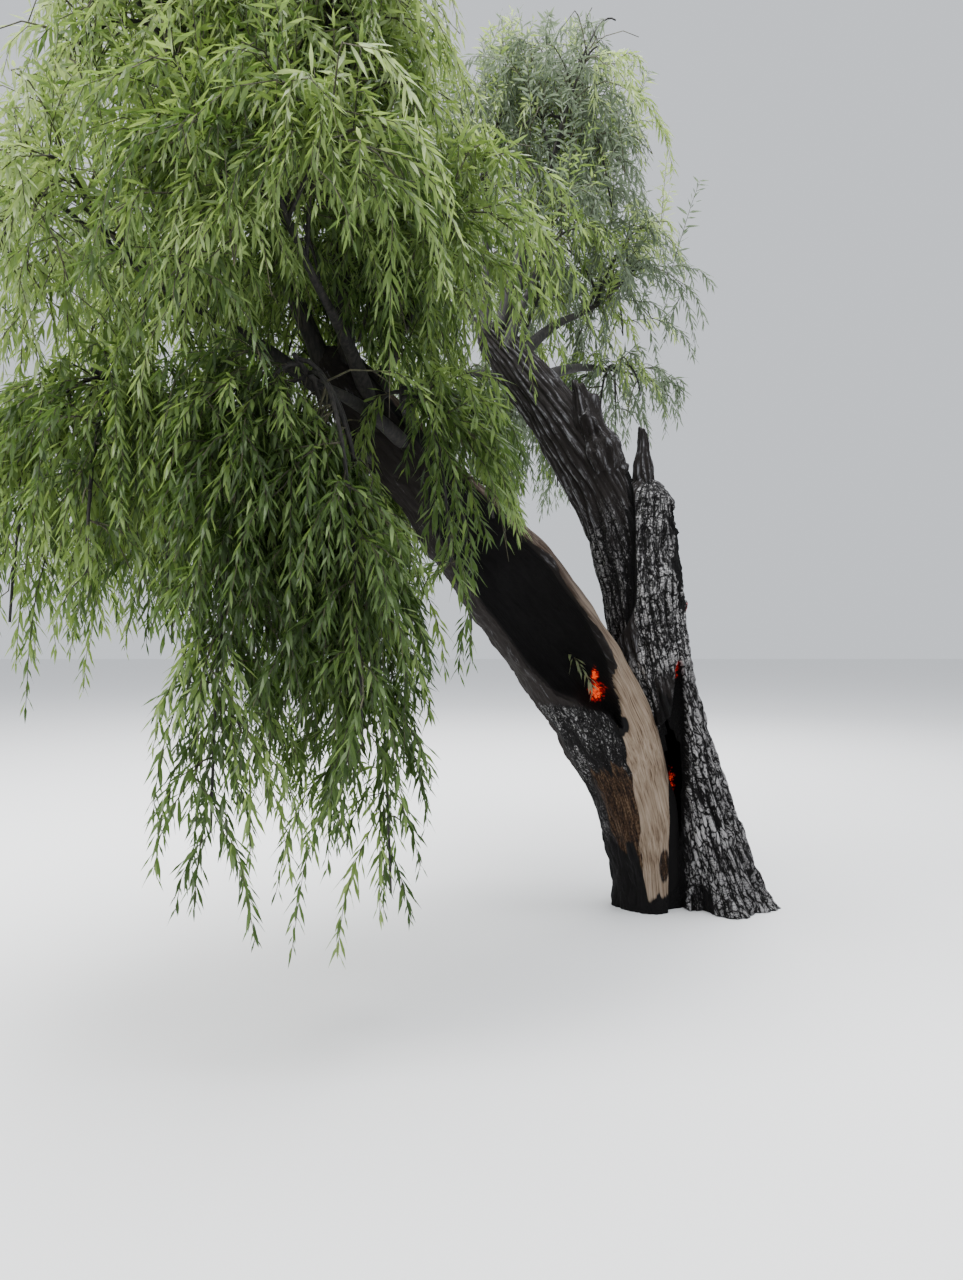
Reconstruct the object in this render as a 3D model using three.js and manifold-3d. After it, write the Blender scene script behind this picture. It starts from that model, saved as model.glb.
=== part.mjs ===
// A weeping willow that a fire has hollowed: two stems on one foot, the left one leaning out as a heavy
// open-fronted bough, the right one broken off beside a bough that arches to the back, and a crown of drooping
// shoots on both. Millimetres, +Z up, -Y to the front. The origin lies in the flat cut at ground level.
import * as THREE from "three";
import { mergeVertices } from "three/addons/utils/BufferGeometryUtils.js";
import Module from "manifold-3d";

const wasm = await Module();
wasm.setup();

const point = (x, y, z) => new THREE.Vector3(x, y, z);
const UP = point(0, 0, 1);
const FRONT = point(0, -1, 0);
const RIGHT = point(1, 0, 0);
const GOLDEN_ANGLE = Math.PI * (3 - Math.sqrt(5));

// The wood's driving dimensions
const GAP = 0.3;
const SLIVER = 0.03;
const FORK_HEIGHT = 1350;
const BELOW_GROUND = 60;
const LIMB_SIDES = 16;
const FLARE_HEIGHT = 170;
const FLARE_LOBES = 0.5;

// Each main limb: the four control points of its middle line, and its radius at shares of that line.
const LEFT_LIMB = {
  middle: [
    point(-250, 0, -BELOW_GROUND),
    point(-250, 0, 1150),
    point(-1100, -300, 1750),
    point(-1870, -950, 2720),
  ],
  radius: [[0, 165], [0.2, 212], [0.35, 252], [0.45, 262], [0.62, 258], [0.72, 215], [0.82, 165], [1, 118]],
  steps: 11,
  flare: 0.12,
  lobes: 4,
};
const RIGHT_LIMB = {
  middle: [point(165, 0, -BELOW_GROUND), point(20, 0, 750), point(-420, 0, 1450), point(-250, 0, 2300)],
  radius: [[0, 200], [0.12, 182], [0.25, 168], [0.5, 172], [0.65, 192], [0.78, 210], [0.88, 160], [1, 84]],
  steps: 11,
  flare: 0.32,
  lobes: 5,
};
const REAR_LIMB = {
  middle: [point(-300, 0, 1620), point(-400, 0, 2250), point(-720, 120, 2620), point(-1130, 550, 3280)],
  radius: [[0, 130], [0.3, 160], [0.5, 165], [0.75, 140], [1, 112]],
  steps: 7,
  flare: 0,
  lobes: 1,
};
// The wood between the two stems, behind the cleft
const HEART = {
  middle: [point(-40, 50, -BELOW_GROUND), point(-60, 50, 400), point(-180, 50, 800), point(-260, 50, 1240)],
  radius: [[0, 190], [0.6, 165], [1, 110]],
  steps: 4,
  flare: 0,
  lobes: 1,
};

// The burnt hollow in the left limb, along its middle line and set forward from it
const HOLLOW = {
  from: 0.37,
  to: 0.8,
  forward: 118,
  radius: [[0, 25], [0.22, 150], [0.5, 196], [0.75, 150], [1, 25]],
  sides: 10,
  steps: 7,
};

// The cleft between the stems, a tall wedge open to the front. Its widths are shares of the width given: at its
// mouth, at its deepest and at its top.
const CLEFT = {
  foot: -48,
  head: -72,
  height: 1190,
  width: 78,
  deepest: -75,
  mouth: -420,
  shares: [1.1, 0.35, 0.5],
};

// What the fire left of the broken top: a spike over the right stem and a torn stub on the rear limb
const SPIKE = { foot: point(-268, 0, 2080), tip: point(-292, -8, 2560), footRadius: 62, tipRadius: 15, sides: 5 };
const STUB = { foot: point(-500, 10, 2380), tip: point(-640, 10, 2815), footRadius: 118, tipRadius: 26, sides: 7 };

// The face that parts the rear limb from the right stem: a point in it and its upward-left normal
const LIMB_PARTING = { through: point(-345, 0, 2250), normal: point(-0.948, 0, 0.319) };

// The crown's boughs, and the clearances that its growth keeps to the wood and to the spaces beside it
const BOUGH = { sides: 5, steps: 3, seat: 0.6, bow: 60, tipShare: 0.5 };
const SPACE_MARGIN = 9;
const WOOD_MARGIN = 14;
const LOWEST_TIP = 170;

// A mass has a rounded space. The higher the power, the squarer its shoulders are. A hanging mass is squarer,
// and its branches run out almost level before they hang.
const ROUND = { power: 2.5, branchOut: 0.62, branchLift: 70, branchRuns: 2, asideShare: 1 };
const HANGING = { power: 4, branchOut: 0.85, branchLift: 15, branchRuns: 3, asideShare: 0.6 };
const HANGING_HEADROOM = 330;
const HANGING_HEART_DROP = 300;

const STEM = { sides: 3, runs: 3, tipRadius: 15, past: 0.25, rise: 60, bend: 0.45 };
const TWIG = { sides: 3, footRadius: 9, tipRadius: 5 };
const BRANCH = { lowest: 0.3, span: 0.66, least: 0.72, most: 0.94, jitter: 0.8, tries: 6, shrink: 0.86 };
const BRANCH_CHECKS = [0.2, 0.35, 0.5, 0.65, 0.8, 1];

// A spray of leaves is one blade, longer and wider than a leaf. Its direction adds up these shares: along its
// branch, aside and down.
const SPRAY = {
  length: 560,
  width: 135,
  thickness: 13,
  widest: 0.38,
  along: 0.45,
  aside: 0.6,
  down: 0.75,
  spacing: 270,
  first: 0.32,
  last: 0.93,
  apart: 78,
  tries: 6,
  shrink: 0.9,
};
const SPRAY_CHECKS = [0.25, 0.4, 0.6, 0.8, 1];

// The two crowns. Each tier is a ring, or part of one, of foliage masses round the crown's own axis. It has the
// directions of its masses in degrees, how far out and how high above the hub their middles are, and their half
// sizes. Its bough has the share of the limb where it leaves, its radius, and how much of the way to the mass it
// goes.
// A tier with drops hangs, each mass that far below its bough's tip.
const CROWNS = [
  {
    name: "left",
    limb: LEFT_LIMB,
    axis: point(-2120, -1030, 0),
    hub: 2720,
    seed: 11,
    tiers: [
      {
        name: "top",
        turns: [45, 135, 225, 315],
        reach: 410,
        rise: 1180,
        half: [610, 610, 860],
        branches: 6,
        bough: { share: 0.965, radius: 42, carried: 0.5 },
      },
      {
        name: "side",
        turns: [0, 72, 144, 216, 288],
        reach: 740,
        rise: 380,
        half: [560, 560, 640],
        branches: 5,
        bough: { share: 0.92, radius: 40, carried: 0.5 },
      },
      {
        name: "curtain",
        turns: [80, 148, 220, 297, 350],
        reach: 640,
        rise: -260,
        half: [520, 520, 520],
        drops: [900, 1000, 1250, 2200, 1150],
        branches: 6,
        bough: { share: 0.86, radius: 38, carried: 0.8 },
      },
    ],
  },
  {
    name: "rear",
    limb: REAR_LIMB,
    axis: point(-800, 1160, 0),
    hub: 3280,
    seed: 29,
    tiers: [
      {
        name: "top",
        turns: [60, 180, 300],
        reach: 330,
        rise: 1420,
        half: [600, 600, 900],
        branches: 6,
        bough: { share: 0.95, radius: 42, carried: 0.5 },
      },
      {
        name: "side",
        turns: [0, 90, 180, 270],
        reach: 540,
        rise: 480,
        half: [480, 480, 640],
        branches: 5,
        bough: { share: 0.88, radius: 40, carried: 0.5 },
      },
      {
        name: "low",
        turns: [-12, 88, 188],
        reach: 520,
        rise: -100,
        half: [470, 470, 520],
        drops: [440, 850, 850],
        branches: 5,
        bough: { share: 0.78, radius: 36, carried: 0.8 },
      },
    ],
  },
];

// Colours
const CHARRED_BARK = new THREE.MeshStandardMaterial({ color: 0x38332f, roughness: 0.92, metalness: 0 });
const TWIG_BARK = new THREE.MeshStandardMaterial({ color: 0x4a4330, roughness: 0.85, metalness: 0 });
const LEAF = new THREE.MeshStandardMaterial({ color: 0x66803a, roughness: 0.6, metalness: 0 });

// A small repeatable random number source, from 0 to 1.
function randomFrom(seed) {
  let state = seed;
  return () => {
    state = (state * 1664525 + 1013904223) % 4294967296;
    return state / 4294967296;
  };
}

// The radius at share t of a limb, eased between the stations of its profile.
function radiusOn(profile, t) {
  const last = profile.length - 1;
  let i = 0;
  while (i < last - 1 && t > profile[i + 1][0]) i += 1;
  const [from, to] = [profile[i], profile[i + 1]];
  const share = THREE.MathUtils.clamp((t - from[0]) / (to[0] - from[0]), 0, 1);
  return THREE.MathUtils.lerp(from[1], to[1], share * share * (3 - 2 * share));
}

// Of the three main directions, the one that a curve runs along least.
function facingOf(curve) {
  const tangents = [0, 0.25, 0.5, 0.75, 1].map((t) => curve.getTangent(t));
  const alongIt = (way) => Math.max(...tangents.map((tangent) => Math.abs(tangent.dot(way))));
  return [FRONT, RIGHT, UP].reduce((best, way) => (alongIt(way) < alongIt(best) - 0.05 ? way : best));
}

// Two directions across a tangent, the first as near as it can be to the one asked for.
function acrossOf(tangent, way) {
  const facing = way.clone().addScaledVector(tangent, -way.dot(tangent)).normalize();
  return [facing, facing.clone().cross(tangent)];
}

// A closed cylinder bent along a curve. radiusAt gives the radius at a share of it and an angle round it.
function bentCylinder(curve, radiusAt, sides, steps, from = 0, to = 1, forward = 0) {
  const geometry = new THREE.CylinderGeometry(1, 1, 1, sides, steps);
  const places = geometry.attributes.position;
  const way = facingOf(curve);
  for (let i = 0; i < places.count; i += 1) {
    const share = places.getY(i) + 0.5;
    const t = from + (to - from) * share;
    const middle = curve.getPoint(t);
    const [facing, aside] = acrossOf(curve.getTangent(Math.min(t, 1)), way);
    const [x, z] = [places.getX(i), places.getZ(i)];
    const size = radiusAt(share, Math.atan2(z, x));
    middle.addScaledVector(facing, x * size + forward).addScaledVector(aside, z * size);
    places.setXYZ(i, middle.x, middle.y, middle.z);
  }
  return geometry;
}

// A closed geometry as a solid that can be cut and joined, and back again.
function solidOf(geometry) {
  const bare = geometry.clone();
  bare.deleteAttribute("normal");
  bare.deleteAttribute("uv");
  const merged = mergeVertices(bare, 1e-3);
  const corners = merged.attributes.position.array;
  return new wasm.Manifold(new wasm.Mesh({ numProp: 3, vertProperties: corners, triVerts: merged.index.array }));
}

function geometryOf(solid) {
  const mesh = solid.getMesh();
  const geometry = new THREE.BufferGeometry();
  geometry.setAttribute("position", new THREE.BufferAttribute(mesh.vertProperties, 3));
  geometry.setIndex(new THREE.BufferAttribute(mesh.triVerts, 1));
  return geometry;
}

// Several solids as one, without slivers too thin to build.
const joined = (solids) => wasm.Manifold.union(solids).simplify(SLIVER);

// The largest of the pieces that a cut has left, without its scraps.
function largest(solid) {
  return solid.decompose().reduce((best, piece) => (piece.volume() > best.volume() ? piece : best));
}

const root = new THREE.Group();

function addNode(name, solid, material) {
  const mesh = new THREE.Mesh(geometryOf(solid), material);
  mesh.name = name;
  root.add(mesh);
}

// A main limb, with its root flare in lobes near the ground. With a clearance it is that much fatter and longer.
function limbSolid(limb, clearance = 0) {
  const curve = new THREE.CubicBezierCurve3(...limb.middle);
  const radiusAt = (t, angle) => {
    const height = Math.max(0, curve.getPoint(t).z);
    const lobes = 1 + FLARE_LOBES * Math.cos(limb.lobes * angle);
    const spread = limb.flare * Math.exp(-height / FLARE_HEIGHT) * lobes;
    return radiusOn(limb.radius, t) * (1 + spread) + clearance;
  };
  const [, , before, last] = limb.middle;
  const end = 1 + clearance / (3 * last.distanceTo(before));
  return solidOf(bentCylinder(curve, radiusAt, LIMB_SIDES, limb.steps, 0, end));
}

// A straight tapering piece of wood between two points.
function taper(piece) {
  const line = new THREE.LineCurve3(piece.foot, piece.tip);
  const radiusAt = (t) => THREE.MathUtils.lerp(piece.footRadius, piece.tipRadius, t);
  return solidOf(bentCylinder(line, radiusAt, piece.sides, 1));
}

function hollow() {
  const curve = new THREE.CubicBezierCurve3(...LEFT_LIMB.middle);
  const radiusAt = (t) => radiusOn(HOLLOW.radius, t);
  const { sides, steps, from, to, forward } = HOLLOW;
  return solidOf(bentCylinder(curve, radiusAt, sides, steps, from, to, forward));
}

// The cleft is a box whose front corners are drawn apart and whose top leans with the stem.
function cleft() {
  const depth = CLEFT.deepest - CLEFT.mouth;
  const [atMouth, atDeepest, atTop] = CLEFT.shares;
  const box = new THREE.BoxGeometry(CLEFT.width, depth, CLEFT.height + BELOW_GROUND);
  box.translate(0, CLEFT.mouth + depth / 2, (CLEFT.height - BELOW_GROUND) / 2);
  const places = box.attributes.position;
  for (let i = 0; i < places.count; i += 1) {
    const isTop = places.getZ(i) > 0;
    const isFront = places.getY(i) < CLEFT.mouth + depth / 2;
    const share = (isFront ? atMouth : atDeepest) * (isTop ? atTop : 1);
    places.setX(i, places.getX(i) * share + (isTop ? CLEFT.head : CLEFT.foot));
  }
  return solidOf(box);
}

// All the main wood in one piece, cut into the trunk, the left bough, the right stem and the rear limb.
function addMainWood() {
  const limbs = [LEFT_LIMB, RIGHT_LIMB, REAR_LIMB, HEART].map((limb) => limbSolid(limb));
  const whole = joined([...limbs, taper(SPIKE), taper(STUB)])
    .subtract(hollow())
    .subtract(cleft())
    .trimByPlane([0, 0, 1], 0);
  const foot = whole.trimByPlane([0, 0, -1], -(FORK_HEIGHT - GAP / 2));
  const upper = whole.trimByPlane([0, 0, 1], FORK_HEIGHT + GAP / 2);
  const [left, right] = upper
    .decompose()
    .sort((a, b) => b.volume() - a.volume())
    .slice(0, 2)
    .sort((a, b) => a.boundingBox().min[0] - b.boundingBox().min[0]);
  const across = LIMB_PARTING.normal.clone().normalize();
  const at = across.dot(LIMB_PARTING.through);
  const stem = right.trimByPlane(across.clone().negate().toArray(), -(at - GAP / 2));
  const rear = right.trimByPlane(across.toArray(), at + GAP / 2);
  addNode("trunk", largest(foot), CHARRED_BARK);
  addNode("left_bough", left, CHARRED_BARK);
  addNode("right_stem", largest(stem), CHARRED_BARK);
  addNode("rear_limb", largest(rear), CHARRED_BARK);
}

// The bough that carries a mass leaves the limb on the side towards it and bows upward a little.
function boughCurve(limb, tier, outward, carrier) {
  const middle = new THREE.CubicBezierCurve3(...limb.middle);
  const { share, carried } = tier.bough;
  const [facing, aside] = acrossOf(middle.getTangent(share), FRONT);
  const side = facing.multiplyScalar(outward.dot(facing)).addScaledVector(aside, outward.dot(aside));
  side.normalize();
  const start = middle.getPoint(share).addScaledVector(side, radiusOn(limb.radius, share) * BOUGH.seat);
  const tip = start.clone().lerp(carrier, carried);
  const bow = start.clone().lerp(tip, 0.5).addScaledVector(UP, BOUGH.bow);
  return new THREE.QuadraticBezierCurve3(start, bow, tip);
}

// A foliage mass: its middle and half sizes, its heart and weight, by which its space is parted from the others,
// and the curve of its bough.
function massOf(crown, tier, level, k) {
  const turn = THREE.MathUtils.degToRad(tier.turns[k]);
  const outward = point(Math.cos(turn), Math.sin(turn), 0);
  const carrier = crown.axis.clone().addScaledVector(outward, tier.reach).setZ(crown.hub + tier.rise);
  const bough = boughCurve(crown.limb, tier, outward, carrier);
  const half = point(...tier.half);
  const weight = ((half.x + half.z) / 2) ** 2;
  const [middle, heart] = [carrier.clone(), carrier.clone()];
  if (tier.drops) {
    const tip = bough.getPoint(1);
    const [top, bottom] = [tip.z + HANGING_HEADROOM, tip.z - tier.drops[k]];
    half.z = (top - bottom) / 2;
    middle.z = (top + bottom) / 2;
    heart.z = tip.z - HANGING_HEART_DROP;
  }
  return {
    label: crown.name + "_" + tier.name + "_" + (k + 1),
    seed: crown.seed * 1000 + level * 100 + k,
    limb: crown.limb,
    radius: tier.bough.radius,
    branches: tier.branches,
    hangs: Boolean(tier.drops),
    habit: tier.drops ? HANGING : ROUND,
    middle,
    half,
    heart,
    weight,
    bough,
  };
}

const masses = CROWNS.flatMap((crown) =>
  crown.tiers.flatMap((tier, level) => tier.turns.map((_, k) => massOf(crown, tier, level, k))),
);
const boughRadius = (mass, t) => THREE.MathUtils.lerp(mass.radius, mass.radius * BOUGH.tipShare, t);

// Balls along all the wood, which no twig or leaf may touch.
function woodBalls() {
  const balls = [];
  const follow = (curve, radiusAt, count) => {
    for (let i = 0; i <= count; i += 1) {
      balls.push({ at: curve.getPoint(i / count), radius: radiusAt(i / count) });
    }
  };
  for (const limb of [LEFT_LIMB, RIGHT_LIMB, REAR_LIMB]) {
    follow(new THREE.CubicBezierCurve3(...limb.middle), (t) => radiusOn(limb.radius, t), 60);
  }
  for (const piece of [SPIKE, STUB]) {
    const radiusAt = (t) => THREE.MathUtils.lerp(piece.footRadius, piece.tipRadius, t);
    follow(new THREE.LineCurve3(piece.foot, piece.tip), radiusAt, 12);
  }
  for (const mass of masses) follow(mass.bough, (t) => boughRadius(mass, t), 16);
  return balls;
}

const balls = woodBalls();
const touchesWood = (place, reach) => balls.some((ball) => ball.at.distanceTo(place) < ball.radius + reach);

// Whether a place is in a mass's own space: its rounded form, cut off at a plane between it and each other one.
function isInside(mass, place, margin) {
  const shares = place.clone().sub(mass.middle).divide(mass.half).toArray();
  const spread = shares.reduce((sum, share) => sum + Math.abs(share) ** mass.habit.power, 0);
  if (spread > 1 || place.z < LOWEST_TIP) return false;
  return masses.every((other) => {
    if (other === mass) return true;
    const apart = other.heart.distanceTo(mass.heart);
    const mine = place.distanceToSquared(mass.heart) - mass.weight;
    const theirs = place.distanceToSquared(other.heart) - other.weight;
    return (theirs - mine) / (2 * apart) > margin;
  });
}

// A place on a limb that is drawn in a few straight runs, and the direction of its run there.
function onRuns(curve, runs, share) {
  const run = Math.min(runs - 1, Math.floor(share * runs));
  const [from, to] = [curve.getPoint(run / runs), curve.getPoint((run + 1) / runs)];
  return [from.clone().lerp(to, share * runs - run), to.clone().sub(from).normalize()];
}

// The stem of a mass goes on from its bough's tip towards the middle, and a little past it. That of a hanging
// mass stays near the tip's height.
function stemOf(mass) {
  const tip = mass.bough.getPoint(1);
  const ahead = mass.bough.getTangent(1);
  const start = tip.clone().addScaledVector(ahead, GAP);
  const goal = mass.hangs ? mass.middle.clone().setZ(start.z + STEM.rise) : mass.middle;
  const end = start.clone().lerp(goal, 1 + STEM.past);
  const bend = start.clone().addScaledVector(ahead, start.distanceTo(end) * STEM.bend);
  return new THREE.QuadraticBezierCurve3(start, bend, end);
}

// The direction of a mass's goal number i. Goals are spread evenly over its space, or its lower half where it
// hangs.
function goalWay(mass, step, i, random) {
  const height = mass.hangs ? -step : 1 - 2 * step;
  const { power } = mass.habit;
  const ring = (1 - Math.abs(height) ** power) ** (1 / power);
  const angle = i * GOLDEN_ANGLE + random() * BRANCH.jitter;
  return point(ring * Math.cos(angle), ring * Math.sin(angle), height).multiply(mass.half);
}

// A branch leaves the stem, rises over its goal and droops to it. One that doesn't fit is drawn shorter, and is
// left out if that doesn't help.
function branchesOf(mass, stem) {
  const random = randomFrom(mass.seed);
  const { branchOut, branchLift } = mass.habit;
  const found = [];
  for (let i = 0; i < mass.branches; i += 1) {
    const step = (i + 0.5) / mass.branches;
    const way = goalWay(mass, step, i, random);
    const share = THREE.MathUtils.lerp(BRANCH.least, BRANCH.most, random());
    const [start] = onRuns(stem, STEM.runs, BRANCH.lowest + BRANCH.span * step);
    for (let attempt = 0; attempt < BRANCH.tries; attempt += 1) {
      const goal = mass.middle.clone().addScaledVector(way, share * BRANCH.shrink ** attempt);
      const bend = start.clone().lerp(goal, branchOut).setZ(Math.max(start.z, goal.z) + branchLift);
      const curve = new THREE.QuadraticBezierCurve3(start, bend, goal);
      const fits = [start, bend, goal].every((p) => isInside(mass, p, SPACE_MARGIN + TWIG.footRadius));
      const margin = WOOD_MARGIN + TWIG.footRadius;
      const clear = BRANCH_CHECKS.every((t) => !touchesWood(curve.getPoint(t), margin));
      if (fits && clear) {
        found.push(curve);
        break;
      }
    }
  }
  return found;
}

// Whether a spray keeps to its mass's space, and clear of the wood and of the sprays before it.
function sprayFits(mass, spray, before) {
  return SPRAY_CHECKS.every((share) => {
    const place = spray.root.clone().addScaledVector(spray.way, spray.length * share);
    const halfWidth = (SPRAY.width / 2) * (share === 1 ? 0.2 : 1);
    return (
      isInside(mass, place, SPACE_MARGIN + halfWidth) &&
      !touchesWood(place, WOOD_MARGIN + halfWidth) &&
      before.every((other) => other.places.every((p) => p.distanceTo(place) > SPRAY.apart))
    );
  });
}

// The sprays along one branch droop away from it all round. One that doesn't fit is turned on round the branch
// and drawn shorter, and is left out if that doesn't help.
function addSprays(mass, branch, random, before) {
  const { branchRuns, asideShare } = mass.habit;
  const last = Math.max(2, Math.round(branch.getLength() / SPRAY.spacing));
  for (let k = 0; k <= last; k += 1) {
    const share = THREE.MathUtils.lerp(SPRAY.first, SPRAY.last, k / last);
    const [root, along] = onRuns(branch, branchRuns, share);
    const aside = asideShare * SPRAY.aside * (0.7 + 0.6 * random());
    const full = SPRAY.length * (0.8 + 0.4 * random());
    const turn = random() * Math.PI;
    for (let attempt = 0; attempt < SPRAY.tries; attempt += 1) {
      const angle = (k + attempt) * GOLDEN_ANGLE + turn;
      const way = point(aside * Math.cos(angle), aside * Math.sin(angle), -SPRAY.down);
      way.addScaledVector(along, SPRAY.along).normalize();
      const across = way.clone().cross(along).normalize();
      const spray = { root, way, across, length: full * SPRAY.shrink ** attempt };
      if (sprayFits(mass, spray, before)) {
        spray.places = SPRAY_CHECKS.map((share) => root.clone().addScaledVector(way, spray.length * share));
        before.push(spray);
        break;
      }
    }
  }
}

// A spray as one blade of eight faces: an octahedron drawn out from its root, its flat turned away from the
// branch.
function blade(spray) {
  const { root, way, across } = spray;
  const geometry = new THREE.OctahedronGeometry(1, 0);
  const places = geometry.attributes.position;
  for (let i = 0; i < places.count; i += 1) {
    const [x, y, z] = [places.getX(i), places.getY(i), places.getZ(i)];
    const along = z < -0.5 ? 0 : z > 0.5 ? 1 : SPRAY.widest;
    places.setXYZ(i, (x * SPRAY.width) / 2, (y * SPRAY.thickness) / 2, along * spray.length);
  }
  const basis = new THREE.Matrix4().makeBasis(across, way.clone().cross(across), way);
  geometry.applyMatrix4(basis.setPosition(root));
  return solidOf(geometry);
}

// The stem, branches and sprays of a mass, fused into one solid.
function addMass(mass) {
  const stem = stemOf(mass);
  const random = randomFrom(mass.seed + 7);
  const stemRadius = (t) => THREE.MathUtils.lerp(boughRadius(mass, 1), STEM.tipRadius, t);
  const twigRadius = (t) => THREE.MathUtils.lerp(TWIG.footRadius, TWIG.tipRadius, t);
  const branches = branchesOf(mass, stem);
  const sprays = [];
  branches.forEach((branch) => addSprays(mass, branch, random, sprays));
  const { branchRuns } = mass.habit;
  const twigs = branches.map((branch) => solidOf(bentCylinder(branch, twigRadius, TWIG.sides, branchRuns)));
  const stalk = solidOf(bentCylinder(stem, stemRadius, STEM.sides, STEM.runs));
  addNode("foliage_" + mass.label, largest(joined([stalk, ...twigs, ...sprays.map(blade)])), LEAF);
}

function boughSolid(mass, clearance = 0) {
  const radiusAt = (t) => boughRadius(mass, t) + clearance;
  return solidOf(bentCylinder(mass.bough, radiusAt, BOUGH.sides, BOUGH.steps));
}

// A bough of the crown is cut a gap clear of the limb that carries it and of the boughs before it.
function addBough(mass, place) {
  const before = masses.slice(0, place).map((other) => boughSolid(other, GAP));
  const cutter = joined([limbSolid(mass.limb, GAP), ...before]);
  addNode("bough_" + mass.label, largest(boughSolid(mass).subtract(cutter)), TWIG_BARK);
}

addMainWood();
masses.forEach(addBough);
masses.forEach(addMass);

export default root;
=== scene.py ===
# The looks of a weeping willow that a fire has hollowed: bark and char in relief, embers, and a crown of
# fine shoots that grow by the same rule as its solids. Metres, +Z up, -Y to the front.
import math

import bpy
import numpy as np
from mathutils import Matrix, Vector, noise


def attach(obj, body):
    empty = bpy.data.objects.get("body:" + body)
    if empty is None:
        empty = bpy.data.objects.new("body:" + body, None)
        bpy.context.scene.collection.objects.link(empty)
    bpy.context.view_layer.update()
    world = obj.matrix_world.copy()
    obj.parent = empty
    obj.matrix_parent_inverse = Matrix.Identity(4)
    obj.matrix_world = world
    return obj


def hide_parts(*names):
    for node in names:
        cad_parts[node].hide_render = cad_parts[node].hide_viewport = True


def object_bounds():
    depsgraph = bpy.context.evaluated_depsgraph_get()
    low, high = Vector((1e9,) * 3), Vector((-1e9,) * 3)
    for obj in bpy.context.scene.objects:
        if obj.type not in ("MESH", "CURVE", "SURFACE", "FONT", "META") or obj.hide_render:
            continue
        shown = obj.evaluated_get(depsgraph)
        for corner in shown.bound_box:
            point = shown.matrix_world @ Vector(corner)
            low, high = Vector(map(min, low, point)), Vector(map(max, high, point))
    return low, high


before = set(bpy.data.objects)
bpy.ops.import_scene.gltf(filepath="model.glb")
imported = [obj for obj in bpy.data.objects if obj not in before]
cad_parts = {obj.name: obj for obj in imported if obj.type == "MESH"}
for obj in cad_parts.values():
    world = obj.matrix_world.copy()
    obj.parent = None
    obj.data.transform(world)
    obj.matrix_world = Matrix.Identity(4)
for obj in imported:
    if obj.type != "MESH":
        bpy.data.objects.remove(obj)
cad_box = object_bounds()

UP = np.array([0.0, 0.0, 1.0])
FRONT = np.array([0.0, -1.0, 0.0])
GOLDEN_ANGLE = math.pi * (3 - math.sqrt(5))


# Numbers and curves


def random_from(seed):
    """A small repeatable random number source, from 0 to 1."""
    state = seed

    def draw():
        nonlocal state
        state = (state * 1664525 + 1013904223) % 4294967296
        return state / 4294967296

    return draw


def place(x, y, z):
    return np.array([x, y, z], float)


def xyz(places):
    """The three coordinates of places, as views: a change to one moves the places."""
    return places[..., 0], places[..., 1], places[..., 2]


def ease(share):
    """A smooth step from 0 to 1."""
    share = np.clip(share, 0, 1)
    return share * share * (3 - 2 * share)


def rise(value, start, over):
    """0 up to a start, then an ease to 1 over a stretch."""
    return ease((value - start) / over)


def fall(value, start, over):
    """1 up to a start, then an ease to 0 over a stretch."""
    return 1 - rise(value, start, over)


def between(low, high, share):
    return low + (high - low) * share


def profile(stations, share):
    """The value at a share of a line, or at several, eased between stations."""
    places, values = np.array(stations, float).T
    before = np.clip(np.searchsorted(places, share, side="right") - 1, 0, len(places) - 2)
    step = (share - places[before]) / (places[before + 1] - places[before])
    return between(values[before], values[before + 1], ease(step))


def window(value, low, high, soft):
    """1 from low to high, falling off to 0 over the softness on both sides."""
    return ease((value - low) / soft + 0.5) * ease((high - value) / soft + 0.5)


def unit(vectors):
    return vectors / np.linalg.norm(vectors, axis=-1, keepdims=True)


def bezier(points, share):
    """The place at a share of a Bezier curve, or the places at several."""
    share = np.asarray(share, float)[..., None]
    points = list(points)
    while len(points) > 1:
        points = [between(a, b, share) for a, b in zip(points, points[1:])]
    return points[0]


def heading(points, share):
    """The direction of a Bezier curve at a share of it."""
    return unit(bezier([b - a for a, b in zip(points, points[1:])], share))


def across(tangent, way=FRONT):
    """Two directions across a tangent, the first as near as it can be to the way asked for."""
    facing = unit(way - tangent * np.sum(tangent * way, axis=-1, keepdims=True))
    return facing, np.cross(facing, tangent)


def length_of(points):
    """The length of a Bezier curve."""
    steps = np.diff(bezier(points, np.linspace(0, 1, 201)), axis=0)
    return float(np.linalg.norm(steps, axis=1).sum())


def middle_line(*points):
    """The control points of a limb's middle line."""
    return [place(*point) for point in points]


# The main limbs, as in the solids: the middle line and the radius at shares of it
LEFT_MIDDLE = middle_line((-0.25, 0, -0.06), (-0.25, 0, 1.15), (-1.1, -0.3, 1.75), (-1.87, -0.95, 2.72))
RIGHT_MIDDLE = middle_line((0.165, 0, -0.06), (0.02, 0, 0.75), (-0.42, 0, 1.45), (-0.25, 0, 2.3))
REAR_MIDDLE = middle_line((-0.3, 0, 1.62), (-0.4, 0, 2.25), (-0.72, 0.12, 2.62), (-1.13, 0.55, 3.28))
HEART_MIDDLE = middle_line((-0.04, 0.05, -0.06), (-0.06, 0.05, 0.4), (-0.18, 0.05, 0.8), (-0.26, 0.05, 1.24))
SPIKE_MIDDLE = middle_line((-0.268, 0, 2.08), (-0.292, -0.008, 2.56))
STUB_MIDDLE = middle_line((-0.5, 0.01, 2.38), (-0.64, 0.01, 2.815))
LEFT_RADIUS = [
    (0, 0.165), (0.2, 0.212), (0.35, 0.252), (0.45, 0.262),
    (0.62, 0.258), (0.72, 0.215), (0.82, 0.165), (1, 0.118),
]
RIGHT_RADIUS = [
    (0, 0.2), (0.12, 0.182), (0.25, 0.168), (0.5, 0.172),
    (0.65, 0.192), (0.78, 0.21), (0.88, 0.16), (1, 0.084),
]
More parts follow.
